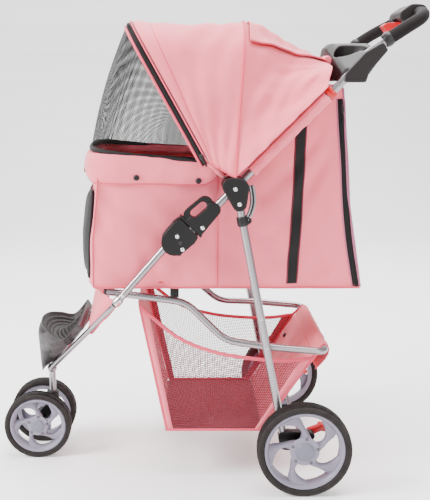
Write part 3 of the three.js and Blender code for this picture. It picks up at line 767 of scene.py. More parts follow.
for hand, side in SIDES:
    end = along(FRONT_RIVET, FRONT_TILT, -180)
    top, foot = P(side * FRONT_X, *along(FRONT_RIVET, FRONT_TILT, 12)), P(side * FRONT_X, *end)
    tube = pipe(f"front_tube_round_{hand}", straight(top, foot), crimped(FRONT_R, 192), "steel")
    settle(tube, "front_frame", "steel", f"front_tube_{hand}")

    line = straight(handle_point(-9, side), handle_point(435, side))
    tube = pipe(f"handle_tube_round_{hand}", line, crimped(HANDLE_R, 444), "steel")
    settle(tube, "handle_frame", "steel", f"handle_tube_{hand}")

    line = straight(leg_point(-9, side), leg_point(478, side))
    tube = pipe(f"rear_leg_round_{hand}", line, crimped(HANDLE_R, 487), "steel")
    settle(tube, "rear_leg_frame", "steel", f"rear_leg_{hand}")

    plug, elbow = (P(side * FRONT_X, *along(end, FRONT_TILT, s)) for s in (10, -14))
    line = rounded_route([plug, elbow, P(side * 7, -506, 181)], 11)
    tube = pipe(f"v_tube_round_{hand}", finely(line, 6), 5.5, "steel", sides=18)
    settle(tube, "front_frame", "steel", f"v_tube_{hand}")

    clamp_mid = P(side * FRONT_X, *along(end, FRONT_TILT, 5))
    ahead = (top - foot).normalized()
    line = straight(clamp_mid - ahead * 7 * MM, clamp_mid + ahead * 7 * MM, 8)
    collar = pipe(f"clamp_collar_{hand}", line, lambda t: 8.6 + 0.5 * math.sin(math.pi * t),
                  "bright", sides=24)
    settle(collar, "front_frame", "steel")
    line = straight(*(P(side * FRONT_X, *along(end, FRONT_TILT, s)) for s in (-6, 1)), 5)
    plug = pipe(f"clamp_plug_{hand}", line, lambda t: 7.3 - 1.2 * (1 - t) ** 2, "black", sides=20)
    settle(plug, "front_frame", "black_plastic")


def front_stem():
    post = pipe("stem_post", straight(P(0, -506, 101), P(0, -506, 178), 12), 7, "steel", sides=24)
    angles = [math.pi * k / 14 for k in range(15)]
    profile = [(-10 * math.cos(a), max(0.05, 10 * math.sin(a))) for a in angles]
    ball = lathe("stem_ball", profile, P(0, -506, 178), "steel", axis="Z", segments=32,
                 closed=False)
    return joined("stem_round", [post, ball])


settle(front_stem(), "front_frame", "steel", "front_stem")


def seat_loop():
    half = [(SEAT_X, -378, 376.6), (SEAT_X, -223.5, 355.3), (SEAT_X + 20, -148.4, 284.7),
            (172, -70, 277.5), (172, 44, 267)]
    corners = [P(*p) for p in half] + [P(-x, y, z) for x, y, z in reversed(half)]
    line = finely(rounded_route(corners, 24, steps=10), 7)
    parts = [pipe("seat_loop_round", line, FRONT_R, "steel")]
    for _, side in SIDES:
        nose = straight(P(side * SEAT_X, -381, 377), P(side * SEAT_X, -376, 376.3), 4)
        parts.append(pipe("nose", nose, lambda t: 7.4 - 2.0 * (1 - t) ** 2, "dark"))
    return joined("seat_loop_tube", parts)


settle(seat_loop(), "seat_frame", "steel", "seat_loop")
for place, body, half, y, z, steps in (("rear", "rear_leg_frame", 227, 0, 90, 20),
                                       ("front", "caster", 50, FRONT_AXLE_Y, 69, 8)):
    line = straight(P(-half, y, z), P(half, y, z), steps)
    settle(pipe(f"{place}_axle_round", line, 4, "steel"), body, "steel", f"{place}_axle")


# ---- rivets, screws and snaps -------------------------------------------------------------------
def side_studs(name, places, side, body, shape, *nodes):
    """Small round heads that face outwards on one side."""
    facing = Vector((side, 0, 0))
    spots = [(P(side * x, y, z), facing, Vector((0, 1, 0))) for x, y, z in places]
    settle(repeated(name, ON_POINTS, [spots], shape, "bright"), body, "steel", *nodes)


for hand, side in SIDES:
    line = straight(P(side * 142, *HINGE), P(side * 184.2, *HINGE), 4)
    settle(pipe(f"fold_pin_flush_{hand}", line, 3.1, "black", sides=16), "front_frame", "steel")
    on_front = [(184.6, -239.6, 493), (184.6, -229.7, 468.5), (158.4, *SEAT_PIN)]
    side_studs(f"front_rivets_{hand}", on_front, side, "front_frame", "rivet", f"fold_pin_{hand}")
    on_handle = [(205.2, *LEG_PIN), (205.2, -134.2, 583.3)]
    side_studs(f"bracket_rivets_{hand}", on_handle, side, "handle_frame", "rivet")
    on_slider = [(180.3, *along(HINGE, HANDLE_TILT, 49, -9.5))]
    side_studs(f"slider_rivet_{hand}", on_slider, side, f"lock_slider_{hand}", "rivet")
    on_leg = [(LEG_X + 7.2, *along(LEG_PIN, 90 + LEG_LEAN, -s)) for s in (221, 279)]
    side_studs(f"leg_rivets_{hand}", on_leg, side, "rear_leg_frame", "screw")


# ---- mouldings ----------------------------------------------------------------------------------
for node, material, body, voxel, rounds in (  # body is None where each side is its own body
    ("lock_housing", "black", "front_frame", 1.0, 6), ("lock_slider", "black", None, 0.8, 8),
    ("leg_bracket", "black", "handle_frame", 1.0, 3),
    ("axle_bracket", "black", "rear_leg_frame", 1.0, 3), ("brake_pedal", "red", None, 0.9, 3),
):
    for hand, _ in SIDES:
        own = f"{node}_{hand}"
        piece = moulded(f"{node}_moulding_{hand}", own, material, voxel, rounds)
        settle(piece, body or own, f"{material}_plastic", own)
for name, node, material, voxel, rounds, body in (
    ("caster_fork", "caster_fork", "black", 1.0, 4, "caster"),
    ("tray", "cup_tray", "brown", 1.5, 22, "handle_frame"),
    ("pod", "grip_pod", "brown", 1.1, 12, "handle_frame"),
    ("trigger", "trigger_button", "red", 0.8, 3, "trigger"),
):
    piece = moulded(f"{name}_moulding", node, material, voxel, rounds)
    settle(piece, body, f"{material}_plastic", node)


def footrest():
    """A toe-cap shell with a ridged dish inside."""
    half = (
        [(100, -438, 302), (98, -467, 270), (85, -494, 276), (52, -515, 285), (0, -523, 289)],
        [(97, -434, 298), (90, -470, 262), (76, -501, 258), (46, -523, 262), (0, -531, 264)],
        [(92, -429, 291), (64, -474, 240), (46, -502, 222), (27, -521, 214), (0, -530, 214)],
        [(88, -427, 289), (38, -483, 222), (24, -501, 200), (12, -521, 182), (0, -527, 171)],
    )
    lines = []
    for ring in half:
        lines.append(picked(curve_points(mirrored([P(*p) for p in ring]), 2), 72))
    outer = list(zip(*(picked(curve_points(list(column), 5), 20) for column in zip(*lines))))
    rim, middle = outer[0], P(0, -446, 292)
    inner = []
    for k in range(1, 49):
        t = k / 48
        ring = []
        for p in rim:
            q = p.lerp(middle, 1 - (1 - t) ** 0.9)
            ridge = 0.9 * math.sin(t * 2 * math.pi * 11) * (0.06 < t < 0.92)
            dish = -34 * math.sin(math.pi * min(t * 0.9, 0.5)) * (1 - t ** 3)
            ring.append(q + Vector((0, 0, dish + ridge)) * MM)
        inner.append(ring)
    rows = list(reversed(inner)) + [[p + Vector((0, 0, 1.2)) * MM for p in rim]] + outer
    return capped("footrest_shell", rows, "brown", 50)


settle(footrest(), "front_frame", "brown_plastic", "footrest")

for hand, side in SIDES:
    middle = handle_point(385, side)
    ahead = (handle_point(400, side) - middle).normalized()
    line = [middle + ahead * t * MM for t in (-7, -6.4, -4, -1.2, -0.4, 0.4, 1.2, 4, 6.4, 7)]
    radii = [9.4, 11.2, 12.0, 11.8, 10.6, 10.6, 11.8, 12.0, 11.2, 9.4]
    rings = []
    for point, r in zip(line, radii):
        rings += rings_along([point - ahead * 1e-4, point + ahead * 1e-4], r, 32)[:1]
    collar = capped(f"collar_rings_{hand}", rings, "red")
    settle(collar, "handle_frame", "red_plastic", f"tube_collar_{hand}")

    def bent(shift):
        bend = [(-105, 589), (-101.5, 570), (-102, 552), (-108, 534), (-115, 524)]
        return curve_points([P(side * LEG_X, y + shift, z) for y, z in bend], 3)

    wires = [pipe("wire", bent(shift), 2.6, "steel", sides=12) for shift in (-3.2, 3.2)]
    flat = {"squash_to": 0.5, "up": Vector((1, 0, 0))}
    wires.append(pipe("web", bent(0), 3.4, "dark", sides=12, **flat))
    clip_line = [leg_point(s, side) for s in (24, 25, 27, 33, 39, 41, 42)]
    clip = pipe(f"stay_clip_part_{hand}", clip_line, barrel(10.6, 1.6, 3), "black", sides=24)
    ear = [leg_point(s, side, off=off) for s, off in ((28, -6), (31, -13), (36, -13.5), (39, -8))]
    ears = pipe("ear", curve_points(ear, 1.5), 3.2, "black", sides=12)
    stay = joined(f"stay_clip_{hand}", [*wires, clip, ears])
    settle(stay, "rear_leg_frame", "steel", f"leg_stay_{hand}")


# ---- grip ---------------------------------------------------------------------------------------
GRIP_HALF = [(150, 104, 822), (150, 132, 842), (148, 172, 868), (126, 205, 887), (84, 220, 898),
             (40, 223, 902), (0, 224, 903)]
grip_line = curve_points(mirrored([P(*p) for p in GRIP_HALF]), 5)
settle(pipe("grip_core", grip_line, HANDLE_R, "steel"), "handle_frame", "steel", "grip_bar")
for hand, side in SIDES:
    stretch = [p for p in grip_line
               if 45.5 * MM < p.x * side < 151 * MM and p.y - AXLE_Y > 133 * MM]
    if side < 0:
        stretch.reverse()
    foam = pipe(f"foam_sleeve_{hand}", stretch,
                lambda t: 11.8 - 0.9 * math.exp(-((t / 0.02) ** 2)), "foam", sides=28)
    settle(foam, "handle_frame", "foam", f"foam_grip_{hand}")
    cuff = pipe(f"foam_cuff_{hand}", stretch[:4], barrel(13.4, 1.4, 4), "black", sides=28)
    settle(cuff, "handle_frame", "brown_plastic")


# ---- wheels -------------------------------------------------------------------------------------
def tread(name, centre, radius, rim, half, waves):
    """A tyre with a wavy groove round each shoulder and fine cross cuts."""
    bead = rim + 0.3
    shoulder = radius - 0.3 * (radius - bead)
    profile = [
        (-0.78, bead), (-0.93, bead + 1.2), (-1.0, (shoulder + bead) / 2), (-0.99, shoulder),
        (-0.93, shoulder + 3.0), (-0.84, radius - 3.0), (-0.74, radius - 1.6), (-0.6, radius - 0.9),
        (-0.42, radius - 0.4), (-0.25, radius - 0.1), (-0.09, radius),
    ]
    profile += [(-a, r) for a, r in reversed(profile)]
    segments = waves * 12
    rows = []
    for k in range(segments):
        angle = 2 * math.pi * k / segments
        c, s = math.cos(angle), math.sin(angle)
        ring = []
        for across, r in profile:
            groove = abs(across) - 0.68 - 0.10 * math.sin(angle * waves)
            depth = 2.2 * math.exp(-((groove / 0.09) ** 2)) if r > shoulder else 0
            cut = max(0.0, math.sin(angle * waves + across * 3)) ** 3
            depth += 0.5 * (0.55 < abs(across) < 0.8) * cut
            cut = max(0.0, math.sin(angle * waves + across * 5)) ** 6
            depth += 0.4 * (abs(across) < 0.5) * cut
            ring.append(centre + Vector((across * half, (r - depth) * c, (r - depth) * s)) * MM)
        rows.append(ring)
    return turned(name, rows, "tyre", True, 60)


def spoke(centre, side, base, radius, half):
    """One curved spoke, wide at both ends, with a scooped face."""
    hub, well = radius * 0.30, radius - 8.5
    steps, wide = 14, 9
    front, back = [], []
    for i in range(steps + 1):
        t = i / steps
        r = hub + (well - hub) * t
        spread = radius * (0.17 - 0.10 * math.sin(math.pi * min(1, t * 1.15)) + 0.10 * t ** 4)
        sweep = 0.62 * t ** 1.3
        for rows, face in ((front, 1), (back, -1)):
            row = []
            for j in range(wide):
                s = 2 * j / (wide - 1) - 1
                angle = base + side * (sweep + s * spread / r)
                dome = 1 - 0.55 * abs(s) ** 3
                depth = half * (0.70 - 0.34 * t + 0.22 * t ** 3)
                x = depth * dome if face > 0 else depth - half * 0.62
                place = Vector((side * x, r * math.cos(angle), r * math.sin(angle)))
                row.append(centre + place * MM)
            rows.append(row)
    rings = [f + list(reversed(b)) for f, b in zip(front, back)]
    return capped("spoke", rings, "rim", 50)


# Profiles as (share of half the width, distance inside the rim's edge or share of its radius)
RING = [(-0.70, 9), (-0.80, 1.5), (-0.76, 0), (0.76, 0), (0.84, 0.8), (0.86, 3.2), (0.74, 5.5),
        (0.62, 7.5), (0.30, 9.5), (-0.3, 9.5)]
HUB = [(-0.9, 0.05), (-0.9, 0.22), (-0.3, 0.26), (0.3, 0.33), (0.62, 0.37), (0.74, 0.36),
       (0.78, 0.30), (0.78, 0.05)]
CAP = [(0.60, 0.30), (0.86, 0.215), (0.92, 0.205), (0.95, 0.17), (0.99, 0.09), (1.0, 0.01)]
SPOKE_ANGLES = [2 * math.pi * k / 5 + 0.2 for k in range(5)]


def rim_body(name, centre, side, radius, half):
    ring = lathe("ring", [(x * half, radius - r) for x, r in RING], centre, "rim", segments=96)
    if side < 0:
        flip = Matrix.Scale(-1, 4, (1, 0, 0))
        ring.data.transform(Matrix.Translation(centre) @ flip @ Matrix.Translation(-centre))
        outward(ring.data)
        smooth(ring.data, LATHE_ANGLE)

    def disc(label, profile, material):
        points = [(side * x * half, r * radius) for x, r in profile]
        return lathe(label, points, centre, material, closed=False)

    hub = disc("hub", HUB, "rim")
    spokes = [spoke(centre, side, angle, radius, half) for angle in SPOKE_ANGLES]
    return joined(name, [ring, hub, *spokes, disc("cap", CAP, "cap")])


def wheel_screws(name, centre, side, radius, half):
    line = []
    for a in SPOKE_ANGLES:
        y, z = radius * 0.325 * math.cos(a), radius * 0.325 * math.sin(a)
        spot = centre + Vector((side * half * 0.76, y, z)) * MM
        line.append((spot, Vector((side, 0, 0)), Vector((0, 1, 0))))
    return repeated(name, ON_POINTS, [line], "screw", "dark")


# place, half track, y, radius, rim radius, half width, waves of the tread
WHEELS = (("rear", 219.5, 0, 90, 76.5, 16.5, 30), ("front", 42, FRONT_AXLE_Y, 69, 58, 14, 24))
for place, track, y, radius, rim_r, half, waves in WHEELS:
    for hand, side in SIDES:
        centre = P(side * track, y, radius)
        body = f"{place}_wheel_{hand}"
        tyre = tread(f"{place}_tyre_tread_{hand}", centre, radius, rim_r, half, waves)
        settle(tyre, body, "tyre", f"{place}_tyre_{hand}")
        rim = rim_body(f"{place}_rim_moulding_{hand}", centre, side, rim_r, half)
        settle(rim, body, "rim", f"{place}_rim_{hand}")
        screws = wheel_screws(f"{place}_hub_screws_{hand}", centre, side, rim_r, half)
        settle(screws, body, "rim")


# ---- cabin cloth --------------------------------------------------------------------------------
def value_at(table, z):
    """y on an edge given as [(y, z), ...] with z rising."""
    heights = [p[1] for p in table]
    i = min(max(1, bisect.bisect_left(heights, z)), len(table) - 1)
    (y0, z0), (y1, z1) = table[i - 1], table[i]
    return y0 + (y1 - y0) * (z - z0) / (z1 - z0)


def wave(x, y, seed, size):
    """A smooth unevenness of about the given size, from -1 to 1."""
    return noise.noise(Vector((x / size, y / size, seed * 7.31)))


def fold(x, y, angle, pitch, seed):
    """A soft crease line pattern across a direction, from -1 to 1."""
    a = math.radians(angle)
    u = x * math.cos(a) + y * math.sin(a)
    v = -x * math.sin(a) + y * math.cos(a)
    drift = noise.noise(Vector((u / pitch * 0.35, v / pitch * 0.3, seed * 3.7))) * pitch
    ridge = math.sin((v + drift) * 2 * math.pi / pitch)
    strength = 0.5 + 0.5 * noise.noise(Vector((u / (pitch * 3), v / (pitch * 1.4), seed * 5.1)))
    return ridge * strength


FLOOR_Z = 384
FRONT_EDGE = [(-402, 384), (-401, 480), (-392, 560), (-386, 634)]
REAR_EDGE = [(112, 384), (98, 470), (82, 565), (73, 680), (66, 768)]
TOP_EDGE = [(-400, 624), (-205, 624), (-150, 600), (30, 768), (70, 770)]
HALF = 137.0
SEAM_Y = -163
FRONT_CROWN = 18  # of the front wall, at its middle


def top_height(y):
    """z of the side wall's top edge."""
    for (y0, z0), (y1, z1) in zip(TOP_EDGE, TOP_EDGE[1:]):
        if y <= y1:
            return z0 + (z1 - z0) * max(0.0, y - y0) / (y1 - y0)
    return TOP_EDGE[-1][1]


def near_tubes(y, z):
    """0 where the front tubes and fold locks pass close by, rising to 1 away from them."""
    a = math.radians(HANDLE_TILT)
    off = abs(-(y - HINGE[0]) * math.sin(a) + (z - HINGE[1]) * math.cos(a)) - 32
    return min(1.0, max(0.0, off / 30))


def side_bulge(y, z):
    """How far the side cloth stands off its flat plane, in millimetres."""
    rear = 1 / (1 + math.exp(-(y + 130) / 18))
    low = max(0.0, 1 - (z - 384) / 120)
    out = 5.5 * fold(y, z, 58, 104, 1) + 3.4 * fold(y, z, 128, 66, 2) + 4.5 * wave(y, z, 3, 80)
    out += 3.2 * low * fold(y, z, 84, 60, 4) + 2.0 * wave(y, z, 9, 34)
    out += rear * (6.0 * fold(y, z, 52, 62, 5) + 1.5)
    out *= min(1.0, abs(y - SEAM_Y) / 12) ** 0.7 * min(1.0, (z - 382) / 14)
    out -= 1.8 * math.exp(-(((y - SEAM_Y) / 4) ** 2))
    front = min(1.0, (y + 404) / 30, max(0.05, (value_at(REAR_EDGE, z) - 24 - y) / 30))
    most = 2.0 + 4.5 * near_tubes(y, z)
    out *= max(0.0, front)
    return max(-9.0, out if out < 0 else most * (1 - math.exp(-out / most)))


def side_point(y, z, lift=0.0, side=1):
    return P(side * (HALF + side_bulge(y, z) + lift), y, z)


def cabin_side(side, columns=90, rows=56):
    """The side wall, between its slanted front, rear and top edges."""
    out = []
    for i in range(rows + 1):
        v = i / rows
        row = []
        for j in range(columns + 1):
            u = j / columns
            z = 600.0
            for _ in range(4):
                y = value_at(FRONT_EDGE, z) * (1 - u) + value_at(REAR_EDGE, z) * u
                z = FLOOR_Z + v * (top_height(y) - FLOOR_Z)
            y = value_at(FRONT_EDGE, z) * (1 - u) + value_at(REAR_EDGE, z) * u
            z += 3.0 * wave(y, 0, 8, 70) * (1 - v) ** 6
            row.append(side_point(y, z, side=side))
        out.append(row)
    return out


def on_cabin(piece, slot="pink_cloth", *nodes):
    """Cabin cloth: it goes with the seat frame, on a mesh of its own."""
    settle(piece, "seat_frame", slot, *nodes)
    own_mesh(piece)


for hand, side in SIDES:
    piece = cloth(f"cabin_wall_{hand}", cabin_side(side), "pink", thick=2.0,
                  facing=P(side * 900, -150, 500), inner="lining")
    on_cabin(piece, "pink_cloth", f"cabin_side_{hand}")


def end_wall(edge, crown, outside, seed, columns=36, rows=30):
    """The front or rear wall, crowned across and softly creased."""
    low, high = edge[0][1], edge[-1][1]
    out = []
    for i in range(rows + 1):
        z = low + (high - low) * i / rows
        row = []
        for j in range(columns + 1):
            s = 2 * j / columns - 1
            y = value_at(edge, z) + crown * (1 - s * s)
            crease = 3.0 * fold(s * HALF, z, 75, 70, seed) + 2.5 * wave(s * HALF, z, seed + 1, 60)
            puff = (1 - abs(s) ** 6) * crease
            row.append(P(s * HALF, y + outside * puff, z))
        out.append(row)
    return out


for label, edge, crown, outside, seed in (("front", FRONT_EDGE, -FRONT_CROWN, -1, 11),
                                          ("rear", REAR_EDGE, 6, 1, 14)):
    piece = cloth(f"cabin_wall_{label}", end_wall(edge, crown, outside, seed), "pink", 2.0,
                  facing=P(0, outside * 2000, 500), inner="lining")
    on_cabin(piece, "pink_cloth", f"cabin_{label}")


def floor_pad():
    """The stiff padded board, with a rounded piped edge."""
    x1, half, middle, corner = 132, 246, -145, 14
    dx, dy = x1 - corner, half - corner
    outline = []
    for quarter, (cx, cy) in enumerate(((dx, dy), (-dx, dy), (-dx, -dy), (dx, -dy))):
        for k in range(7):
            a = math.radians(90 * quarter + 15 * k)
            outline.append((cx + corner * math.cos(a), middle + cy + corner * math.sin(a)))
    rings = []
    for inset, z in ((60, 390.4), (8, 390.0), (2, 391), (0, 393.5), (2, 396.4), (10, 397.6),
                     (26, 398.6), (70, 399.4), (110, 399.6)):
        share_x, share_y = 1 - inset / x1, 1 - inset / half
        rings.append([P(x * share_x, (y - middle) * share_y + middle, z) for x, y in outline])
    return capped("cabin_pad", rings, "lining", 60)


pad = floor_pad()
settle(pad, "seat_frame", "pink_board", "cabin_floor")


# trim on the cabin: piping, zips, straps, seams, lip and pocket
def piping(name, line, radius, material="pink_hem", slot="pink_cloth"):
    on_cabin(pipe(name, line, radius, material, sides=10), slot)


def side_line(points, lift, side, spacing=7.0):
    """A smooth line over the side cloth through (y, z) points."""
    line = curve_points([P(0, y, z) for y, z in points], spacing)
    return [side_point((p.y - AXLE_Y) / MM, p.z / MM, lift, side) for p in line]


def zip_tape(name, line_a, line_b, facing):
    """A zip's tape between two lines."""
    rows = [[a.lerp(b, k / 2) for a, b in zip(line_a, line_b)] for k in range(3)]
    return cloth(name, rows, "tape", thick=1.2, facing=facing, levels=0)


def shifted(line, dy):
    return [(y + dy, z) for y, z in line]


ZIP_LINE = [(62, 742), (66, 690), (73, 620), (79, 540), (88, 470), (103, 388)]
STRAP_LINE = [(-9, 700), (-10, 676), (-13, 555), (-17, 470), (-21, 394)]
for hand, side in SIDES:
    out = P(side * 900, 0, 500)
    facing = Vector((side, 0, 0))
    bottom = side_line([(y, 385) for y in (-400, -300, -162, 0, 110)], 0.6, side)
    piping(f"cabin_hem_{hand}", bottom, 1.9)
    piping(f"cabin_seam_{hand}",
           side_line([(SEAM_Y, z) for z in (387, 450, 520, 600)], 0.4, side), 1.2)
    for label, edge, dy, top, radius, tone in (
        ("corner", FRONT_EDGE, 0.5, 604, 1.6, "pink_hem"),
        ("rear_corner", REAR_EDGE, -0.5, 768, 1.9, "mauve"),
    ):
        line = [P(side * 137.5, value_at(edge, z) + dy, z) for z in range(386, top, 8)]
        piping(f"cabin_{label}_{hand}", line, radius, tone)
    for dy, label in ((-7.5, "inner"), (7.0, "outer")):
        line = side_line(shifted(ZIP_LINE, dy), 1.0, side)
        piping(f"zip_piping_{label}_{hand}", line, 1.3, "mauve")
    tape = [side_line(shifted(ZIP_LINE, dy), 0.9, side, 6) for dy in (-6.2, 6.0)]
    on_cabin(zip_tape(f"zip_tape_{hand}", *tape, out))
    teeth = [along_surface(side_line(ZIP_LINE, 1.6, side, 6), facing)]
    on_cabin(repeated(f"zip_teeth_{hand}", ALONG, teeth, "tooth", "dark", 3.0))
    web = [side_line(shifted(STRAP_LINE, dy), 1.6, side, 6) for dy in (-10.5, -5.5, 0, 5.5, 10.5)]
    on_cabin(cloth(f"webbing_{hand}", web, "tape", thick=1.6, facing=out, levels=0))
    seam = [(SEAM_Y, z) for z in (392, 450, 520, 590)]
    hem = [(y, 391) for y in (-395, -300, -200, -100, 0, 104)]
    stitched = [
        along_surface(side_line(shifted(line, dy), lift, side, 6), facing)
        for line, dy, lift in ((STRAP_LINE, -9.0, 2.2), (STRAP_LINE, 9.0, 2.2), (seam, -3.0, 1.0),
                               (seam, 3.0, 1.0), (hem, 0, 1.0))
    ]
    on_cabin(repeated(f"side_stitches_{hand}", ALONG, stitched, "stitch", "pink_hem", 4.2))

# zip pull near the top of each rear zip
for hand, side in SIDES:
    x = HALF + 5.0
    line = straight(P(side * x, 63.5, 733), P(side * x, 65.5, 716), 6)
    body = pipe("pull_body", line, barrel(4.2, 1.6, 3), "black", sides=14, squash_to=0.8)
    places = ((x + 2, 64, 722), (x + 3.4, 66, 712), (x + 2.6, 67.5, 694))
    line = curve_points([P(side * a, y, z) for a, y, z in places], 2)
    tab = pipe("pull_tab", line, 2.6, "black", sides=12, squash_to=0.55)
    on_cabin(joined(f"zip_pull_{hand}", [body, tab]), "black_plastic")

# the lip: a soft turned-over flap round the front of the cabin, held down by snaps
LIP_PATH = [(137, -166), (138, -230), (139, -300), (138, -352), (131, -382), (112, -397),
            (60, -407), (0, -411)]
LIP_PROFILE = [(-5.0, 618), (-4.4, 628), (-1.0, 634), (4.5, 634.5), (9.5, 630), (12.5, 621),
               (13.2, 609), (11.5, 596), (8.0, 587), (4.6, 584)]


def lip_rows():
    path = mirrored(curve_points([P(x, y, 0) for x, y in LIP_PATH], 7))
    rows = []
    total = len(path) - 1
    for k, (out, z) in enumerate(LIP_PROFILE):
        row = []
        for i, p in enumerate(path):
            ahead = heading(path, i)
            normal = Vector((-ahead.y, ahead.x, 0))
            if normal.dot(Vector((p.x, p.y - AXLE_Y + 150 * MM, 0))) < 0:
                normal.negate()
            from_end = min(i, total - i) * 7.0
            curl = max(0.0, 1 - from_end / 26) ** 2
            drop = 16 * curl * (k / 9) ** 2
            length = i * 7.0
            crease = 2.0 * wave(length, k * 9, 21, 38) + 1.8 * fold(length, k * 12, 80, 56, 22)
            puff = (k > 2) * crease
            push = out - 2.0 * curl * (k > 3)
            height = z + drop + 1.5 * wave(length, 0, 23, 80)
            height += (8.0 if k < 5 else 2) * min(1.0, from_end / 240)
            row.append(p + normal * (push + puff) * MM + Vector((0, 0, height * MM)))
        rows.append(row)
    return rows


lip = lip_rows()
on_cabin(cloth("cabin_lip", lip, "pink", thick=2.0,
               facing=P(0, -3000, 900)))
for label, k, radius in (("hem", 9, 1.5), ("fold", 2, 0.9)):
    piping(f"lip_{label}", lip[k], radius)

snap_spots = [
    (P(side * x, y, z), Vector((side, 0, 0)), Vector((0, 1, 0)))
    for _, side in SIDES for x, y, z in ((150.5, -315.5, 598), (148.5, -200, 592))
]
snap_spots += [(P(x, -419, 604), Vector((0, -1, 0)), Vector((1, 0, 0))) for x in (-62, 62)]
on_cabin(repeated("lip_snaps", ON_POINTS, [snap_spots], "snap", "black"), "black_plastic")


def pocket_rows():
    """The dark pocket that bulges from the front wall."""
    rows = []
    for i in range(19):
        v = i / 18
        z = 398 + 168 * v
        row = []
        for j in range(25):
            s = 2 * j / 24 - 1
            half = 112 - 10 * (2 * v - 1) ** 4
            x = s * half
            wall = value_at(FRONT_EDGE, z) - FRONT_CROWN * (1 - (x / HALF) ** 2)
            puff = 10.5 * (1 - s ** 4) * (1 - (2 * v - 1) ** 6) ** 0.6 + 2.2
            puff += 1.2 * fold(x, z, 80, 50, 31)
            row.append(P(x, wall - puff, z))
        rows.append(row)
    return rows


pocket = pocket_rows()
on_cabin(cloth("front_pocket", pocket, "tape", thick=1.6,
               facing=P(0, -3000, 480)), "window_mesh")
edge = [r[0] for r in pocket] + pocket[-1][1:]
edge += [r[-1] for r in reversed(pocket[:-1])] + list(reversed(pocket[0][:-1]))
piping("pocket_binding", edge, 2.6, "tape", "window_mesh")


# ---- hood ---------------------------------------------------------------------------------------
HOOD_HALF = 161
SECTION = [(19, 0), (7, 0.3), (0, 0.6), (-18, 0.84), (-66, 0.965), (-110, 1), (-HOOD_HALF, 1)]
BOW = ((-181, 629), (-326, 886))
RIB = ((-134, 604), (-113, 884))
BACK = ((30, 765), (46, 808))


def evenly(line, count):
    """count + 1 evenly spaced points of a half line, carried on to the other side."""
    lengths = [0.0]
    for a, b in zip(line, line[1:]):
        lengths.append(lengths[-1] + (b - a).length)
    even = []
    for k in range(count + 1):
        want = lengths[-1] * k / count
        i = min(max(1, bisect.bisect_left(lengths, want)), len(line) - 1)
        t = (want - lengths[i - 1]) / max(1e-9, lengths[i] - lengths[i - 1])
        even.append(line[i - 1].lerp(line[i], t))
    even[-1].x = 0.0
    return mirrored(even)


def arch(plane, flare, count=40):
    """Points from one hem over the crown to the other."""
    (hem_y, hem_z), (crown_y, crown_z) = plane
    half = []
    for k, (wide, share) in enumerate(SECTION):
        x = max(0.0, HOOD_HALF + wide + (flare if k == 0 else 0))
        half.append(P(x, hem_y + (crown_y - hem_y) * share, hem_z + (crown_z - hem_z) * share))
    return evenly(curve_points(half, 3), count)


HOOD_MIDDLE = P(0, -130, 640)
BOW_NORMAL = (0, -0.871, -0.491)  # of the bow's plane, away from the hood


def from_middle(p):
    """The direction away from the hood's middle."""
    return (p - HOOD_MIDDLE).normalized()


BAND = 0.15  # share of the front panel taken by the padded band beside the zip
BAND_ROWS = 8


def canopy(a, b, count, sag, seed, pull=0.0, band=0.0):
    """Rows from arch a to arch b, sagging and creased as cloth pulled over hoops is."""
    shares = [k / count for k in range(count + 1)]
    if band:
        in_band = [band * k / BAND_ROWS for k in range(BAND_ROWS)]
        shares = in_band + [band + (1 - band) * t for t in shares]
    rows = []
    wide = len(a) - 1
    for t in shares:
        row = []
        for j, (p, q) in enumerate(zip(a, b)):
            point = p.lerp(q, t)
            rise = 1 - abs(2 * j / wide - 1)
            inward = (HOOD_MIDDLE - point).normalized()
            edge = min(1.0, 6.5 * t * (1 - t))
            run = 330 * rise * (1 if j * 2 < wide else -1)
            x = t * 190
            crease = 5.0 * fold(x, run, 14, 92, seed) + 4.0 * wave(x, run, seed + 1, 70)
            crease += 2.4 * fold(x, run, 70, 50, seed + 3) + 1.4 * wave(x, run, seed + 5, 28)
            fan = fold(x, run + t * 150 * (run > 0 or -1), 30, 34, seed + 2)
            crease += pull * fan * (1 - rise) ** 0.6
            dip = sag * 4 * t * (1 - t) * (0.35 + 0.65 * rise)
            if band:
                groove = 1.6 * math.exp(-(((t - band) / 0.02) ** 2))
                dip -= 3.0 * math.sin(math.pi * min(1.0, t / band)) - groove
                edge *= min(1.0, max(0.0, t / band - 0.8))
            row.append(point + inward * (dip + crease * edge) * MM)
        rows.append(row)
    return rows


bow_arch, rib_arch, back_arch = arch(BOW, 0), arch(RIB, 20), arch(BACK, 4)
front_rows = canopy(bow_arch, rib_arch, 34, 4.0, 41, pull=1.6, band=BAND)


def stretched(piece, other, start, end, *nodes):
    """Cloth with its place baked into its mesh; the CAD parts it stands for are hidden."""
    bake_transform(piece)
    if nodes:
        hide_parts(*nodes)


def edging(name, line, radius, body, sides=10, **options):
    """A round binding that rides on one body."""
    settle(pipe(name, line, radius, "pink_hem", sides=sides, **options), body, "pink_cloth")


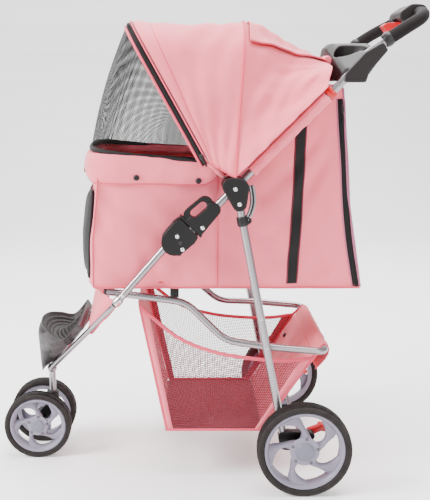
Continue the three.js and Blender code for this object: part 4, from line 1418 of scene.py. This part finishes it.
ABOVE_HOOD = P(0, -50, 3000)
TO_BOW = ("hood_bow", (0, -118, 800), (0, -300, 800))
TO_HANDLE = ("handle_frame", (0, -110, 800), (0, 40, 800))
piece = cloth("hood_front_panel", front_rows, "pink", thick=1.8, facing=P(0, -150, 3000))
stretched(piece, *TO_BOW, "hood_front")
seam = [p + from_middle(p) * 0.4 * MM for p in front_rows[BAND_ROWS]]
stretched(pipe("band_seam", seam, 0.9, "pink_hem", sides=8), *TO_BOW)
for label, pick in (("left", 0), ("right", -1)):
    hem = [row[pick] for row in front_rows]
    stretched(pipe(f"hood_front_hem_{label}", hem, 2.0, "pink_hem", sides=10), *TO_BOW)
rear_rows = canopy(rib_arch, back_arch, 36, 3.0, 47, pull=3.4)
piece = cloth("hood_rear_panel", rear_rows, "pink", thick=1.8, facing=ABOVE_HOOD)
stretched(piece, *TO_HANDLE, "hood_rear")

# piping along the middle hoop, and the zipped front edge
edging("rib_piping", [p + from_middle(p) * 1.4 * MM for p in rib_arch], 2.4, "hood_rib")


def beside(line, forward, outwards):
    """A line moved in the bow's plane normal and outwards."""
    normal = Vector(BOW_NORMAL)
    return [p + normal * forward * MM + from_middle(p) * outwards * MM for p in line]


bow_fine = arch(BOW, 0, count=60)
tape = zip_tape("bow_zip_tape", beside(bow_fine, 1.0, 0.8), beside(bow_fine, 15.5, -2.0),
                P(0, -900, 1500))
settle(tape, "hood_bow", "pink_cloth")
line = beside(bow_fine, 9, 0.5)
teeth = [(p, from_middle(p), (b - a).normalized()) for a, p, b in zip(line, line[1:], line[2:])]
teeth = repeated("bow_zip_teeth", ALONG, [teeth], "tooth", "dark", 3.0)
settle(teeth, "hood_bow", "pink_cloth")
edging("bow_piping", beside(bow_fine, 16.5, -2.4), 2.6, "hood_bow")
edging("bow_edge_piping", beside(bow_fine, 2.0, 2.6), 1.4, "hood_bow")
pull_line = beside(bow_fine, 6.5, 3)
for hand, side in SIDES:
    foot = bow_fine[0 if side > 0 else -1]
    line = curve_points([foot, P(side * 172, -166, 614), P(side * 165, -156, 604)], 3)
    sleeve = pipe(f"bow_leg_sleeve_{hand}", line, lambda t: 5.2 + 0.8 * math.sin(t * 11), "pink",
                  sides=14)
    settle(sleeve, "hood_bow", "pink_cloth")
    end = pull_line[3 if side > 0 else -4]
    down = (pull_line[1 if side > 0 else -2] - end).normalized()
    out = Vector((side, 0, 0))
    line = straight(end, end + down * 10 * MM, 5)
    slider = pipe("slider", line, barrel(4.6, 1.4, 3), "black", sides=14)
    line = curve_points([end + (down * d + out * o) * MM for d, o in ((6, 3), (14, 5), (24, 3))], 2)
    tab = pipe("tab", line, 2.4, "black", sides=12, squash_to=0.6)
    settle(joined(f"bow_zip_pull_{hand}", [slider, tab]), "hood_bow", "black_plastic")
for node in ("hood_rib", "hood_bow"):
    settle(moulded(f"{node}_wire", node, "steel", 0.9, 2), node, "steel", node)

# sleeves that wrap the handle tubes along the hood's hem
for hand, side in SIDES:
    stations = range(186, 378, 5)
    line = [handle_point(s, side) for s in stations]
    shaped = []
    for s, point, ring in zip(stations, line, rings_along(line, 1.0, 18)):
        row = []
        for k, q in enumerate(ring):
            radius = 11.2 + 1.8 * wave(s, k * 14, 51, 24) + 1.2 * fold(s, k * 10, 80, 30, 52)
            row.append(point + (q - point) * radius)
        shaped.append(row)
    settle(capped(f"tube_sleeve_{hand}", shaped, "pink", 70), "handle_frame", "pink_cloth")
    hem = [handle_point(s, side, x=HANDLE_X + 9.2, off=8) for s in range(186, 378, 8)]
    edging(f"hood_hem_piping_{hand}", hem, 1.6, "handle_frame")

VENT_MARGIN = 25  # columns of the hood on each side of the vent


def over_roof(first, last, lift_front, lift_rear):
    """Rows above the hood's rear panel, for the roof vent's net strip and its cover."""
    rows = []
    span = rear_rows[first:last + 1]
    for i, row in enumerate(span):
        t = i / (len(span) - 1)
        rise = lift_front * (1 - t) + lift_rear * t
        rows.append([p + from_middle(p) * (rise + 0.8 * fold(i * 4, j * 8, 10, 40, 61)) * MM
                     for j, p in enumerate(row[VENT_MARGIN:len(row) - VENT_MARGIN])])
    return rows


cover = over_roof(2, 35, 8.0, 4.0)
for name, rows, material, thick, inner in (
    ("vent_cover", cover, "pink", 1.6, "lining"),
    ("vent_net", over_roof(3, 24, 1.6, 1.6), "lining", 1.0, None),
):
    piece = cloth(name, rows, material, thick, ABOVE_HOOD, inner=inner)
    stretched(piece, *TO_HANDLE)
for label, pick in (("left", 0), ("right", -1)):
    line = [row[pick] for row in cover]
    stretched(pipe(f"vent_edge_{label}", line, 1.7, "pink_hem", sides=10), *TO_HANDLE)
roll = [p + Vector((0, 2, 1)) * MM for p in cover[-1]]
roll = pipe("vent_roll", roll, lambda t: 7.5 + 0.8 * math.sin(t * 9), "pink", sides=18)
stretched(roll, *TO_HANDLE)


# ---- front window -------------------------------------------------------------------------------
SILL = [(146, -196, 630), (141, -300, 636), (138, -352, 641), (126, -384, 645), (96, -401, 647),
        (48, -408, 648), (0, -411, 648)]
sill = evenly(curve_points([P(*p) for p in SILL], 3), 40)


def window_rows(count=24):
    top = beside(bow_arch, 16, -3.4)
    rows = []
    for i in range(count + 1):
        t = i / count
        row = []
        for j, (a, b) in enumerate(zip(sill, top)):
            rise = 1 - abs(2 * j / (len(sill) - 1) - 1)
            point = a.lerp(b, t)
            bow = 4 * t * (1 - t)
            point += Vector((0, -9.0, 0)) * bow * MM * rise
            point += Vector((0, 1, 0.3)) * 0.6 * fold(t * 230, rise * 200, 12, 60, 71) * bow * MM
            row.append(point)
        rows.append(row)
    return rows


piece = cloth("window_net", window_rows(), "net", thick=0.7, facing=P(0, -3000, 800))
settle(piece, "hood_bow", "window_mesh", "front_window")
binding = pipe("window_sill_binding", sill, 4.2, "tape", sides=12, squash_to=1.2)
settle(binding, "hood_bow", "window_mesh")
for part in (piece, binding):
    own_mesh(part)


# ---- basket -------------------------------------------------------------------------------------
B_HALF, B_FRONT, B_REAR, B_Z = 148, -262, -76, 97
TOP_FRONT, TOP_REAR = (118, -318, 352), (158, 26, 252)
HEM = [(121, -314, 344), (130, -240, 284), (142, -167, 257), (150, -90, 246), (156, -30, 244),
       (158, 21, 250)]


def basket_side_rows(side, count=16, across=30):
    top = picked(curve_points([P(side * x, y, z) for x, y, z in HEM], 3), across)
    rows = []
    for i in range(count + 1):
        t = i / count
        row = []
        for j, q in enumerate(top):
            u = j / across
            low = P(side * (B_HALF + 1), B_FRONT + 1 + (B_REAR - B_FRONT - 2) * u, B_Z + 3)
            point = low.lerp(q, t)
            belly = math.sin(math.pi * u) * math.sin(math.pi * t)
            point.x += side * (3.0 * belly + 1.6 * fold(u * 260, t * 180, 86, 60, 81) * belly) * MM
            row.append(point)
        rows.append(row)
    return rows


def basket_end_rows(y, top, seed, push, count=14, across=26):
    """The front or rear cloth, pushed out by push millimetres at its middle."""
    rows = []
    for i in range(count + 1):
        t = i / count
        row = []
        for j in range(across + 1):
            s = 2 * j / across - 1
            low = P(s * (B_HALF - 1), y, B_Z + 3)
            high = P(s * (top[0] - 1), top[1], top[2])
            point = low.lerp(high, t)
            puff = (1 - s ** 4) * math.sin(math.pi * t)
            point.y += (2.5 * fold(s * 140, t * 220, 84, 70, seed) + push) * puff * MM
            row.append(point)
        rows.append(row)
    return rows


def hung(name, rows, material, thick, facing, slot, node):
    """A basket panel that hangs from the seat loop."""
    piece = cloth(name, rows, material, thick, facing)
    settle(piece, "seat_frame", slot, node)


for hand, side in SIDES:
    rows = basket_side_rows(side)
    out = P(side * 900, -150, 200)
    hung(f"basket_net_{hand}", rows, "basket_net", 0.8, out, "basket_mesh", f"basket_side_{hand}")
    edging(f"basket_hem_{hand}", rows[-1], 3.0, "seat_frame", 12, squash_to=1.3)
    edging(f"basket_front_binding_{hand}", [r[0] for r in rows], 2.4, "seat_frame")
    edging(f"basket_rear_binding_{hand}", [r[-1] for r in rows], 2.4, "seat_frame")
    for label, picks in (("front", (0, 1, 2)), ("rear", (-3, -2, -1))):
        strip = [[r[k] + Vector((side * 1.2, 0, 0)) * MM for r in rows] for k in picks]
        band = cloth(f"basket_band_{label}_{hand}", strip, "pink", thick=1.0, facing=out, levels=0)
        settle(band, "seat_frame", "pink_cloth")
    edging(f"basket_foot_binding_{hand}", rows[0], 2.6, "seat_frame")

for label, y, top, seed, sign in (("front", B_FRONT - 3, TOP_FRONT, 91, -1),
                                  ("rear", B_REAR + 3, TOP_REAR, 94, 1)):
    hung(f"basket_{label}_cloth", basket_end_rows(y, top, seed, 2 * sign), "pink", 1.8,
         P(0, sign * 3000, 100), "pink_board", f"basket_{label}")


def basket_floor_rows():
    rows = []
    for i in range(17):
        y = B_FRONT - 4 + (B_REAR - B_FRONT + 8) * i / 16
        row = []
        for j in range(25):
            sag = 3.5 * math.sin(math.pi * i / 16) * math.sin(math.pi * j / 24)
            row.append(P((B_HALF + 1.5) * (2 * j / 24 - 1), y, B_Z - 0.5 - sag))
        rows.append(row)
    return rows


hung("basket_floor_cloth", basket_floor_rows(), "basket_base", 1.6, P(0, -150, -3000),
     "basket_mesh", "basket_floor")


def rear_wrap_rows():
    """The rear wall's top, wrapped over the loop's cross bar."""
    path = [(18, 240, 154), (27, 251, 152), (33, 261, 149), (37, 270, 147), (44, 275.5, 147),
            (51, 272.5, 147), (54, 265, 147), (52.5, 256, 147), (47, 246, 148), (38, 236, 149),
            (28, 226, 150)]
    rows = []
    for k, (y, z, half) in enumerate(path):
        row = []
        for j in range(41):
            s = 2 * j / 40 - 1
            puff = 1.0 * fold(s * 150, k * 12, 86, 44, 97)
            row.append(P(s * half, y + puff, z + puff))
        rows.append(row)
    return rows


wrap = rear_wrap_rows()
piece = cloth("basket_rear_wrap", wrap, "pink", thick=1.6,
              facing=P(0, -300, 900))
settle(piece, "seat_frame", "pink_cloth")
for hand, side in SIDES:
    edging(f"wrap_edge_{hand}", [r[-1 if side > 0 else 0] for r in wrap], 1.5, "seat_frame", 8)
    end = ((157, 20, 250), (155, 32, 262), (148, 40, 273))
    line = curve_points([P(side * x, y, z) for x, y, z in end], 4)
    edging(f"hem_end_{hand}", line, 3.0, "seat_frame", 12)
    tabs = [[P(side * 138.5, y, z) for z in (386, 376, 366)] for y in (-254, -245, -237)]
    piece = cloth(f"cabin_tab_{hand}", tabs, "tape", thick=1.6, levels=0,
                  facing=P(side * 900, -244, 370))
    settle(piece, "seat_frame", "pink_cloth")
knobs = [(P(x, -1, 213), Vector((0, -0.83, 0.55)), Vector((1, 0, 0))) for x in (-118, 118)]
knobs = repeated("pocket_snaps", ON_POINTS, [knobs], "snap", "black")
settle(knobs, "seat_frame", "black_plastic")


# ---- apron --------------------------------------------------------------------------------------
def apron_rows():
    table = [
        [(161, -350, 360), (152, -370, 369), (128, -385, 374), (64, -402, 370), (0, -408, 368)],
        [(136, -382, 321), (123, -399, 327), (100, -406, 325), (50, -414, 318), (0, -418, 314)],
        [(103, -409, 284), (90, -421, 283), (72, -423, 279), (38, -424, 272), (0, -424, 268)],
    ]
    lines = [picked(curve_points(mirrored([P(*p) for p in row]), 3), 40) for row in table]
    rows = []
    for i in range(17):
        t = i / 16 * 2
        first = min(int(t), 1)
        row = []
        for j, (p, q) in enumerate(zip(lines[first], lines[first + 1])):
            point = p.lerp(q, t - first)
            crease = 1.8 * fold(j * 10, i * 7, 70, 40, 101) + 1.0 * wave(j * 10, i * 7, 102, 30)
            point.y += crease * MM
            row.append(point)
        rows.append(row)
    return rows


rows = apron_rows()
piece = cloth("apron_cloth", rows, "pink", thick=1.6, facing=P(0, -3000, 300))
settle(piece, "front_frame", "pink_cloth", "apron")
trim = [pipe("apron_hem", rows[-1], 2.0, "pink_hem", sides=10)]
for label, pick in (("left", 0), ("right", -1)):
    trim.append(pipe(f"apron_edge_{label}", [r[pick] for r in rows], 1.6, "pink_hem", sides=10))
for part in trim:
    settle(part, "front_frame", "pink_cloth")
for part in (piece, *trim):
    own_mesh(part)

for shape in SHAPES.values():
    data = shape.data
    bpy.data.objects.remove(shape)
    bpy.data.meshes.remove(data)


# ---- studio -------------------------------------------------------------------------------------
def studio():
    world = bpy.data.worlds.new("Studio")
    bpy.context.scene.world = world
    world.use_nodes = True
    background = world.node_tree.nodes["Background"]
    background.inputs[0].default_value = (1.0, 1.0, 1.0, 1)
    background.inputs[1].default_value = 0.75
    mesh = bpy.data.meshes.new("floor")
    rows = []
    for i in range(25):
        t = i / 24
        a = max(0.0, t - 0.5) * math.pi
        x = 3.0 - 11.0 * t if t < 0.5 else -2.5 - 1.5 * math.sin(a)
        rows.append((x, 1.5 - 1.5 * math.cos(a)))
    verts = [(x, y, z - 0.0005) for x, z in rows for y in (-6, 6)]
    mesh.from_pydata(verts, [], [(2 * i, 2 * i + 1, 2 * i + 3, 2 * i + 2) for i in range(24)])
    floor = bpy.data.objects.new("floor", mesh)
    collection.objects.link(floor)
    material, _, shader, _ = blank("Studio paper")
    shader.inputs["Base Color"].default_value = (0.93, 0.93, 0.93, 1)
    shader.inputs["Roughness"].default_value = 0.9
    shader.inputs["Emission Color"].default_value = (1, 1, 1, 1)
    shader.inputs["Emission Strength"].default_value = 0.3
    mesh.materials.append(material)
    for name, place, size, power in (
        ("key", (1.0, -2.5, 2.1), 1.2, 190),
        ("fill", (2.6, 1.4, 1.3), 2.0, 48),
        ("top", (0.0, 0.4, 3.2), 1.8, 150),
        ("back", (-1.8, 0.2, 2.6), 2.2, 110),
    ):
        data = bpy.data.lights.new(name, "AREA")
        data.size, data.energy = size, power
        lamp = bpy.data.objects.new(name, data)
        lamp.location = place
        aim = Vector((0, 0, 0.45)) - Vector(place)
        lamp.rotation_euler = aim.to_track_quat("-Z", "Y").to_euler()
        collection.objects.link(lamp)


def camera():
    data = bpy.data.cameras.new("camera")
    data.sensor_width = 36
    data.lens = 1.75678 * data.sensor_width
    data.shift_x, data.shift_y = 0.0537, 0.0005
    made = bpy.data.objects.new("camera", data)
    pitch, yaw = math.radians(11.2137), math.radians(-0.337)
    level = -math.cos(pitch)
    ahead = Vector((level * math.cos(yaw), level * math.sin(yaw), -math.sin(pitch)))
    made.location = P(1777.6, -228.9, 783.4)
    made.rotation_euler = ahead.to_track_quat("-Z", "Y").to_euler()
    collection.objects.link(made)
    bpy.context.scene.camera = made


studio()
camera()
